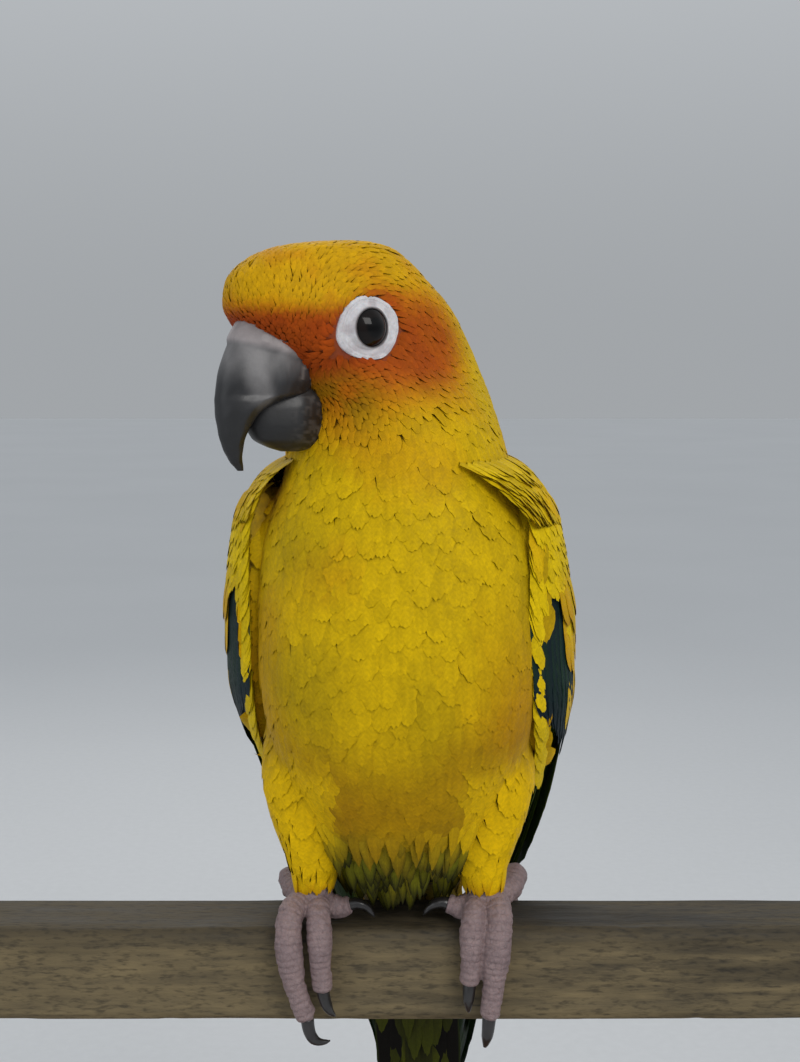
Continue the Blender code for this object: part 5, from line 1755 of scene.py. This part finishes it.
def lid_rings(side, outward, tree):
    """Rings of points on the bare skin round the eye, from the edge of the lids outwards."""
    angles = np.linspace(0, 2 * np.pi, LID_AROUND, endpoint=False)
    rings = []
    shares = np.linspace(0, 1, LID_RINGS)
    tilt = math.radians(RING_TILT)
    edge_a = (RING_LENGTH + RING_MARGIN) * signed_power(np.cos(angles), 2 / RING_POWER)
    edge_b = (RING_HEIGHT + RING_MARGIN) * signed_power(np.sin(angles), 2 / RING_POWER)
    for share in shares:
        along = LID_OPENING * np.cos(angles) * (1 - share) + edge_a * share
        over = LID_OPENING * np.sin(angles) * (1 - share) + edge_b * share
        f = EYE_FORWARD + along * math.cos(tilt) + over * math.sin(tilt)
        z = EYE_HEIGHT - along * math.sin(tilt) + over * math.cos(tilt)
        far = np.hypot(f - EYE_FORWARD, z - EYE_HEIGHT)
        ball = EYE_SIDE + np.sqrt(np.maximum(EYE_RADIUS**2 - far**2, 0)) + 0.18
        skin_side = np.empty(LID_AROUND)
        for i in range(LID_AROUND):
            start = head_point(f[i], side * 30.0, z[i])
            hit = tree.ray_cast(Vector(start), Vector(-outward), 40.0)[0]
            skin_side[i] = side * head_frame(np.array(hit))[1] if hit is not None else 13.0
        blend = smooth_step(0.0, 0.75, share)
        brim = 0.34 * math.exp(-((share - 0.16) / 0.09) ** 2)
        fold = brim + 0.10 * math.sin(share * 26) * share * (1 - share) * 3
        rough = 0.22 * (lattice_noise(np.stack([f, z, np.full_like(f, share * 3)], axis=1), 0.8, 7) - 0.5)
        height = np.maximum(ball, 12.2) * (1 - blend) + (skin_side + 0.5) * blend + fold
        height = np.maximum(height, skin_side + 0.4) + rough * smooth_step(0, 0.15, share)
        if share == 1:
            height = skin_side - 0.3
        rings.append(head_point(f, side * height, z))
    return rings


def make_lids(side, name, tree, material):
    """The bare ring round the eye: from inside the lids out under the first feathers."""
    outward = head_direction(0.0, side, 0.0)
    rings = lid_rings(side, outward, tree)
    points = np.concatenate([rings[0] - outward * LID_DEPTH] + rings)
    obj = mesh_object(name, points, ring_faces(len(rings) + 1, LID_AROUND, closed_ends=False))
    face_outward(obj.data)
    solid = obj.modifiers.new("Solidify", "SOLIDIFY")
    solid.thickness = LID_THICKNESS * MM
    solid.offset = -1
    apply_modifiers(obj)
    head = head_frame(vertices_of(obj))
    far = np.hypot(head[:, 0] - EYE_FORWARD, head[:, 2] - EYE_HEIGHT)
    pale = np.tile(LID_TINTS["pale"], (len(head), 1))
    blotch = lattice_noise(head, 1.6, 13)
    pale = mixed(pale, LID_TINTS["blotch"], 0.6 * smooth_step(0.4, 0.8, blotch))
    pale = mixed(pale, LID_TINTS["edge"], smooth_step(LID_OPENING + 0.5, LID_OPENING + 0.05, far))
    tint_points(obj, pale)
    obj.data.materials.append(material)
    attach(obj, "root")


def arc(points, count):
    """One smooth bend from the first point through the second to the third."""
    start, middle, end = np.asarray(points, float)
    pull = 2 * middle - (start + end) / 2
    t = np.linspace(0, 1, count)[:, None]
    return (1 - t) ** 2 * start + 2 * t * (1 - t) * pull + t * t * end


CLAW_STEPS = 36
CLAW_SIDES = 20


def make_claws(material):
    pieces = []
    names = []
    for side_name in ("left", "right"):
        for number, path in enumerate(FEET[side_name]["claws"]):
            s = np.linspace(0, 1, CLAW_STEPS)
            radius = np.interp(s * 2, range(3), CLAW_RADII) * (1 - 0.5 * smooth_step(0.9, 1, s))
            rings = tube_rings(arc(path, CLAW_STEPS), radius, CLAW_SIDES, 0.9)
            pieces.append(loft("claw", rings))
            names.append(f"claw_{side_name}_{number + 1}")
    claws = join(pieces, "claws")
    points = vertices_of(claws)
    grain = lattice_noise(points * (1, 1, 0.4), 0.8, 14)
    set_vertices(claws, out_of_perch(points + normals_of(claws) * (0.08 * (grain - 0.5))[:, None]))
    tint_points(claws, linear((0.13, 0.12, 0.12)) * (0.6 + 0.9 * grain)[:, None])
    claws.data.materials.append(material)
    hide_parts(*names)
    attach(claws, "root")


PERCH_RING = 96
PERCH_STEPS = 320
END_INSETS = (0.2, 0.5, 0.8, 0.95)


def perch_outline():
    """The square section with its softened edges, as y and z from its middle."""
    flat = PERCH_SIDE / 2 - PERCH_EDGE
    corners = ((1, 1), (-1, 1), (-1, -1), (1, -1))
    steps = PERCH_RING // 8
    outline = []
    for number, corner in enumerate(corners):
        middle = np.multiply(corner, flat)
        for k in range(steps):
            angle = math.radians(90 * number + 90 * k / steps)
            outline.append(middle + PERCH_EDGE * np.array([math.cos(angle), math.sin(angle)]))
        angle = math.radians(90 * number + 90)
        reach = PERCH_EDGE * np.array([math.cos(angle), math.sin(angle)])
        after = np.multiply(corners[(number + 1) % 4], flat)
        for k in range(steps):
            outline.append(middle + reach + (after - middle) * k / steps)
    return np.array(outline)


def make_perch(material):
    outline = perch_outline()
    lengths = np.linspace(-PERCH_LENGTH / 2, PERCH_LENGTH / 2, PERCH_STEPS)
    rings = [(lengths[0], inset) for inset in END_INSETS]
    rings += [(x, 1.0) for x in lengths]
    rings += [(lengths[-1], inset) for inset in reversed(END_INSETS)]
    made = []
    for x, scale in rings:
        section = outline * scale
        made.append(np.stack([np.full(PERCH_RING, x), section[:, 0], section[:, 1] - PERCH_SIDE / 2], axis=1))
    perch = loft("perch_wood", made)
    points, normals = vertices_of(perch), normals_of(perch)
    grain = lattice_noise(points * (0.05, 1.0, 1.0), 0.8, 20)
    coarse = lattice_noise(points * (0.12, 1.0, 1.0), 3.0, 21)
    dents = smooth_step(0.72, 0.9, lattice_noise(points * (0.6, 1, 1), 4.0, 22))
    depth = 0.22 * (1 - grain) + 0.18 * (1 - coarse) + 0.25 * dents
    set_vertices(perch, points - normals * depth[:, None])
    perch.data.materials.append(material)
    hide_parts("perch")
    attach(perch, "root")


class Shader:
    """A material's node tree, with short calls to add and join its nodes."""

    def __init__(self, name):
        self.material = bpy.data.materials.new(name)
        self.material.use_nodes = True
        self.nodes = self.material.node_tree.nodes
        self.links = self.material.node_tree.links
        self.surface = self.nodes["Principled BSDF"]

    def add(self, kind, values=None, **settings):
        node = self.nodes.new(kind)
        for key, value in settings.items():
            setattr(node, key, value)
        for key, value in (values or {}).items():
            if isinstance(value, bpy.types.NodeSocket):
                self.links.new(value, node.inputs[key])
            else:
                node.inputs[key].default_value = value
        return node

    def set(self, **values):
        for key, value in values.items():
            socket = self.surface.inputs[key.replace("_", " ")]
            if isinstance(value, bpy.types.NodeSocket):
                self.links.new(value, socket)
            else:
                socket.default_value = value

    def math(self, operation, a, b=0.0):
        return self.add("ShaderNodeMath", {0: a, 1: b}, operation=operation).outputs[0]

    def noise(self, scale, detail=4.0, vector=None, roughness=0.55):
        values = {"Scale": scale, "Detail": detail, "Roughness": roughness}
        if vector is not None:
            values["Vector"] = vector
        return self.add("ShaderNodeTexNoise", values).outputs[0]

    def place(self, scale=(1, 1, 1)):
        """The surface's own place, in metres, stretched by scale."""
        where = self.add("ShaderNodeTexCoord").outputs["Object"]
        return self.add("ShaderNodeMapping", {"Vector": where, "Scale": scale}).outputs[0]

    def ramp(self, value, low, high, to_low, to_high):
        values = {0: value, 1: low, 2: high, 3: to_low, 4: to_high}
        return self.add("ShaderNodeMapRange", values).outputs[0]

    def shade(self, colour, amount):
        """A colour made lighter or darker by a varying amount."""
        node = self.add("ShaderNodeVectorMath", {0: colour}, operation="SCALE")
        self.links.new(amount, node.inputs["Scale"])
        return node.outputs[0]

    def mix(self, share, first, second):
        node = self.add("ShaderNodeMix", data_type="RGBA")
        for index, value in ((0, share), (6, first), (7, second)):
            if isinstance(value, bpy.types.NodeSocket):
                self.links.new(value, node.inputs[index])
            else:
                node.inputs[index].default_value = value if index == 0 else (*value, 1.0)
        return node.outputs[2]

    def bump(self, height, strength, distance, normal=None):
        values = {"Height": height, "Strength": strength, "Distance": distance * MM}
        if normal is not None:
            values["Normal"] = normal
        return self.add("ShaderNodeBump", values).outputs[0]

    def tint(self):
        return self.add("ShaderNodeAttribute", attribute_name="Tint").outputs["Color"]


def feather_material(name, barbs, strength, roughness):
    """Vanes coloured by their place on the bird, with barbs that slant from the shaft."""
    shader = Shader(name)
    vane = shader.add("ShaderNodeUVMap", uv_map="Vane").outputs[0]
    split = shader.add("ShaderNodeSeparateXYZ", {0: vane}).outputs
    across = shader.math("ABSOLUTE", shader.math("SUBTRACT", split[0], 0.5))
    slant = shader.math("SUBTRACT", split[1], shader.math("MULTIPLY", across, 0.8))
    wave = shader.math("SINE", shader.math("MULTIPLY", slant, barbs))
    fine = shader.noise(1400.0, 3.0, shader.place())
    broad = shader.noise(160.0, 4.0, shader.place())
    barb = shader.math("MULTIPLY_ADD", wave, 0.5)
    height = shader.math("ADD", shader.math("MULTIPLY", barb, 0.6), fine)
    grain = shader.ramp(fine, 0.3, 0.7, 0.88, 1.08)
    light = shader.math("ADD", grain, shader.ramp(broad, 0.3, 0.7, -0.07, 0.07))
    light = shader.math("ADD", light, shader.math("MULTIPLY", wave, 0.035))
    shader.set(
        Base_Color=shader.shade(shader.tint(), light),
        Roughness=shader.ramp(fine, 0.3, 0.7, roughness - 0.08, roughness + 0.08),
        Normal=shader.bump(height, strength, 0.12),
        Sheen_Weight=0.02,
        Sheen_Roughness=0.45,
        Specular_IOR_Level=0.1,
    )
    return shader.material


def skin_material():
    """The skin under the feathers, with the markings of the coat over it."""
    shader = Shader("skin_under_coat")
    fine = shader.noise(900.0, 4.0, shader.place())
    shader.set(
        Base_Color=shader.shade(shader.tint(), shader.ramp(fine, 0.3, 0.7, 0.6, 0.95)),
        Roughness=shader.ramp(fine, 0.3, 0.7, 0.7, 0.9),
        Normal=shader.bump(fine, 0.5, 0.2),
    )
    return shader.material


# How far red, green and blue light spread inside bare skin, in metres
SKIN_SCATTER = (0.002, 0.001, 0.0007)


def foot_material():
    shader = Shader("scaly_foot_skin")
    place = shader.place()
    values = {"Vector": place, "Scale": 950.0}
    cells = shader.add("ShaderNodeTexVoronoi", values, feature="DISTANCE_TO_EDGE").outputs[0]
    fine = shader.noise(1500.0, 4.0, place)
    broad = shader.noise(220.0, 3.0, place)
    scales = shader.ramp(cells, 0.0, 0.1, 0.0, 0.5)
    colour = shader.mix(broad, tuple(linear((0.48, 0.41, 0.42))), tuple(linear((0.62, 0.53, 0.52))))
    colour = shader.mix(shader.ramp(scales, 0.0, 0.5, 0.22, 0.0), colour, tuple(linear((0.36, 0.29, 0.30))))
    colour = shader.shade(colour, shader.ramp(fine, 0.3, 0.7, 0.82, 1.12))
    shader.set(
        Base_Color=colour,
        Roughness=shader.ramp(fine, 0.3, 0.7, 0.48, 0.68),
        Normal=shader.bump(shader.math("ADD", scales, fine), 0.55, 0.16),
        Specular_IOR_Level=0.4,
        Subsurface_Weight=0.12,
        Subsurface_Radius=SKIN_SCATTER,
    )
    return shader.material


def bare_skin_material():
    shader = Shader("bare_eye_skin")
    place = shader.place()
    fine = shader.noise(1700.0, 4.0, place)
    folds = shader.noise(700.0, 3.0, place)
    shader.set(
        Base_Color=shader.shade(shader.tint(), shader.ramp(fine, 0.3, 0.7, 0.86, 1.06)),
        Roughness=shader.ramp(fine, 0.3, 0.7, 0.45, 0.65),
        Normal=shader.bump(shader.math("ADD", fine, folds), 0.5, 0.14),
        Subsurface_Weight=0.15,
        Subsurface_Radius=SKIN_SCATTER,
    )
    return shader.material


def horn_material(name, low, high, coat):
    """Horn coloured by place, with fine growth lines and scuffs."""
    shader = Shader(name)
    lines = shader.noise(700.0, 5.0, shader.place((0.35, 1.0, 0.35)))
    scuffs = shader.noise(2300.0, 3.0, shader.place())
    shader.set(
        Base_Color=shader.shade(shader.tint(), shader.ramp(lines, 0.3, 0.7, 0.75, 1.25)),
        Roughness=shader.ramp(lines, 0.3, 0.7, low, high),
        Normal=shader.bump(shader.math("ADD", lines, scuffs), 0.22, 0.1),
        Coat_Weight=coat,
        Coat_Roughness=0.22,
    )
    return shader.material


def eye_material():
    shader = Shader("wet_eye")
    fine = shader.noise(2500.0, 2.0, shader.place())
    shader.set(
        Base_Color=shader.shade(shader.tint(), shader.ramp(fine, 0.3, 0.7, 0.85, 1.15)),
        Roughness=shader.ramp(fine, 0.3, 0.7, 0.14, 0.22),
        Normal=shader.bump(fine, 0.02, 0.02),
        Specular_IOR_Level=0.06,
        Coat_Weight=0.3,
        Coat_Roughness=0.03,
    )
    return shader.material


# Heights between which painted shade darkens the perch's top edge and top face, in metres, with the surface's
# wear added
PERCH_SHADE_LOW = 0.1345
PERCH_SHADE_HIGH = 0.1385


def wood_material(name, dark, light, stretch, low, high, top_shade=0.0):
    """Wood with grain along x, streaks, pores and a worn surface; painted shade darkens the perch's top edge
    and top face.
    """
    shader = Shader(name)
    along = shader.place((stretch, 1.0, 1.0))
    grain = shader.noise(420.0, 8.0, along, 0.65)
    streaks = shader.noise(90.0, 5.0, along, 0.6)
    pores = shader.noise(1500.0, 2.0, shader.place((stretch * 2.5, 1.0, 1.0)))
    worn = shader.noise(28.0, 4.0, shader.place())
    colour = shader.mix(shader.ramp(grain, 0.35, 0.65, 0.0, 1.0), dark, light)
    colour = shader.mix(shader.ramp(streaks, 0.5, 0.6, 0.0, 0.8), colour, tuple(c * 0.35 for c in dark))
    colour = shader.mix(shader.ramp(worn, 0.4, 0.7, 0.0, 0.35), colour, tuple(c * 1.35 for c in light))
    colour = shader.shade(colour, shader.ramp(pores, 0.28, 0.5, 0.45, 1.0))
    # painted shade: the perch's top edge and top face are darkened
    level = shader.add("ShaderNodeSeparateXYZ", {0: shader.place()}).outputs[2]
    level = shader.math("ADD", level, shader.math("MULTIPLY", worn, 0.004))
    top_shade_factor = shader.ramp(level, PERCH_SHADE_LOW, PERCH_SHADE_HIGH, 1.0, 1.0 - top_shade)
    colour = shader.shade(colour, top_shade_factor)
    height = shader.math("ADD", grain, pores)
    shader.set(
        Base_Color=colour,
        Roughness=shader.ramp(grain, 0.3, 0.7, low, high),
        Normal=shader.bump(height, 0.5, 0.25),
    )
    return shader.material


def metal_material():
    shader = Shader("brushed_rods")
    brushed = shader.noise(900.0, 5.0, shader.place((1.0, 1.0, 0.02)))
    blotches = shader.noise(60.0, 4.0, shader.place())
    shader.set(
        Base_Color=shader.mix(blotches, (0.34, 0.34, 0.35), (0.52, 0.52, 0.53)),
        Metallic=1.0,
        Roughness=shader.ramp(brushed, 0.3, 0.7, 0.26, 0.46),
        Normal=shader.bump(brushed, 0.12, 0.05),
    )
    return shader.material


def floor_material():
    shader = Shader("pale_floor")
    speckle = shader.noise(260.0, 4.0, shader.place())
    broad = shader.noise(3.0, 3.0, shader.place())
    colour = shader.mix(broad, (0.60, 0.61, 0.62), (0.66, 0.67, 0.68))
    shader.set(
        Base_Color=shader.shade(colour, shader.ramp(speckle, 0.3, 0.7, 0.97, 1.02)),
        Roughness=shader.ramp(speckle, 0.3, 0.7, 0.6, 0.75),
        Normal=shader.bump(speckle, 0.05, 0.2),
    )
    return shader.material


def paint_node(node, material):
    """Gives a CAD node that stays in view its material."""
    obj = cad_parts[node]
    obj.data.materials.clear()
    obj.data.materials.append(material)


def make_camera():
    data = bpy.data.cameras.new("camera")
    data.sensor_fit = "VERTICAL"
    data.sensor_height = SENSOR_HEIGHT
    data.lens = CAMERA_LENS
    data.clip_start = 0.01
    camera = linked("camera", data)
    camera.location = lift((0.0, -CAMERA_DISTANCE, CAMERA_HEIGHT))
    camera.rotation_euler = (math.radians(90 - CAMERA_PITCH), 0, 0)
    bpy.context.scene.camera = camera


def area_light(name, place, target, size, power, colour):
    data = bpy.data.lights.new(name, "AREA")
    data.size = size
    data.energy = power
    data.color = colour
    light = linked(name, data)
    light.location = place
    light.rotation_euler = (Vector(target) - Vector(place)).to_track_quat("-Z", "Y").to_euler()


# The sky's colour, its strength at the horizon and higher up, and the height where that is reached
SKY_COLOUR = (0.80, 0.84, 0.88, 1)
SKY_LOW = 0.45
SKY_HIGH = 0.70
SKY_REACH = 0.45
FLOOR_REACH = 6.0
LIGHT_TARGET = (0, 0, 60)
# Soft lights: name, place and size in metres, power in watts and colour
LIGHTS = (
    ("key", (0.30, -0.55, 0.62), 0.35, 2.1, (1.0, 0.98, 0.95)),
    ("fill", (-0.55, -0.45, 0.35), 0.5, 0.6, (0.94, 0.97, 1.0)),
    ("back", (-0.15, 0.6, 0.6), 0.45, 1.0, (1.0, 0.98, 0.95)),
)


def make_stage():
    mesh = bpy.data.meshes.new("floor")
    corners = [(x * FLOOR_REACH, y * FLOOR_REACH, 0) for x, y in ((-1, -1), (1, -1), (1, 1), (-1, 1))]
    mesh.from_pydata(corners, [], [(0, 1, 2, 3)])
    floor = linked("floor", mesh)
    floor.data.materials.append(floor_material())
    world = bpy.data.worlds.new("studio")
    world.use_nodes = True
    background = world.node_tree.nodes["Background"]
    background.inputs["Color"].default_value = SKY_COLOUR
    # The sky pales upwards from the floor's own shade at the horizon, so that no line shows there.
    direction = world.node_tree.nodes.new("ShaderNodeTexCoord")
    split = world.node_tree.nodes.new("ShaderNodeSeparateXYZ")
    rise = world.node_tree.nodes.new("ShaderNodeMapRange")
    rise.interpolation_type = "SMOOTHSTEP"
    for index, value in ((1, 0.0), (2, SKY_REACH), (3, SKY_LOW), (4, SKY_HIGH)):
        rise.inputs[index].default_value = value
    world.node_tree.links.new(direction.outputs["Generated"], split.inputs[0])
    world.node_tree.links.new(split.outputs[2], rise.inputs[0])
    world.node_tree.links.new(rise.outputs[0], background.inputs["Strength"])
    bpy.context.scene.world = world
    bpy.context.scene.view_settings.view_transform = "Standard"
    target = lift(LIGHT_TARGET)
    for name, place, size, power, colour in LIGHTS:
        area_light(name, place, target, size, power, colour)


def make_bird():
    small = feather_material("small_feathers", 55.0, 0.25, 0.62)
    large = feather_material("large_feathers", 170.0, 0.3, 0.5)
    materials = {"small": small, "large": large}
    skin, tree, roots = make_skin((skin_material(), foot_material()))
    points = vertices_of(skin)
    tint_points(skin, plumage(points) * 0.9)
    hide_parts("head", "neck", "torso", "thigh_left", "thigh_right", "wing_left", "wing_right", "tail",
                "foot_left", "foot_right")
    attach(skin, "root")
    make_coat(tree, roots, materials)
    for side, word in SIDES:
        make_wing(side, f"feathers_wing_{word}", materials)
    make_tail(materials)
    bare = bare_skin_material()
    horn = horn_material("bill_horn", 0.40, 0.62, 0.1)
    eye = eye_material()
    make_bill(horn)
    for side, word in SIDES:
        make_eye(side, f"eyeball_{word}", f"eye_{word}", eye)
        make_lids(side, f"lids_{word}", tree, bare)
    make_claws(horn_material("claw_horn", 0.28, 0.42, 0.3))


def make_stand():
    perch_dark = tuple(linear((0.29, 0.25, 0.17)))
    perch_light = tuple(linear((0.47, 0.41, 0.29)))
    # the perch's last number is how much painted shade darkens its top
    make_perch(wood_material("weathered_perch_shaded_top", perch_dark, perch_light, 0.11, 0.6, 0.85, 0.6))
    base_dark = tuple(linear((0.33, 0.21, 0.13)))
    base_light = tuple(linear((0.50, 0.34, 0.21)))
    paint_node("stand_base", wood_material("stained_base", base_dark, base_light, 0.05, 0.35, 0.55))
    metal = metal_material()
    for word in ("left", "right"):
        paint_node(f"stand_rod_{word}", metal)


make_camera()
make_bird()
make_stand()
make_stage()
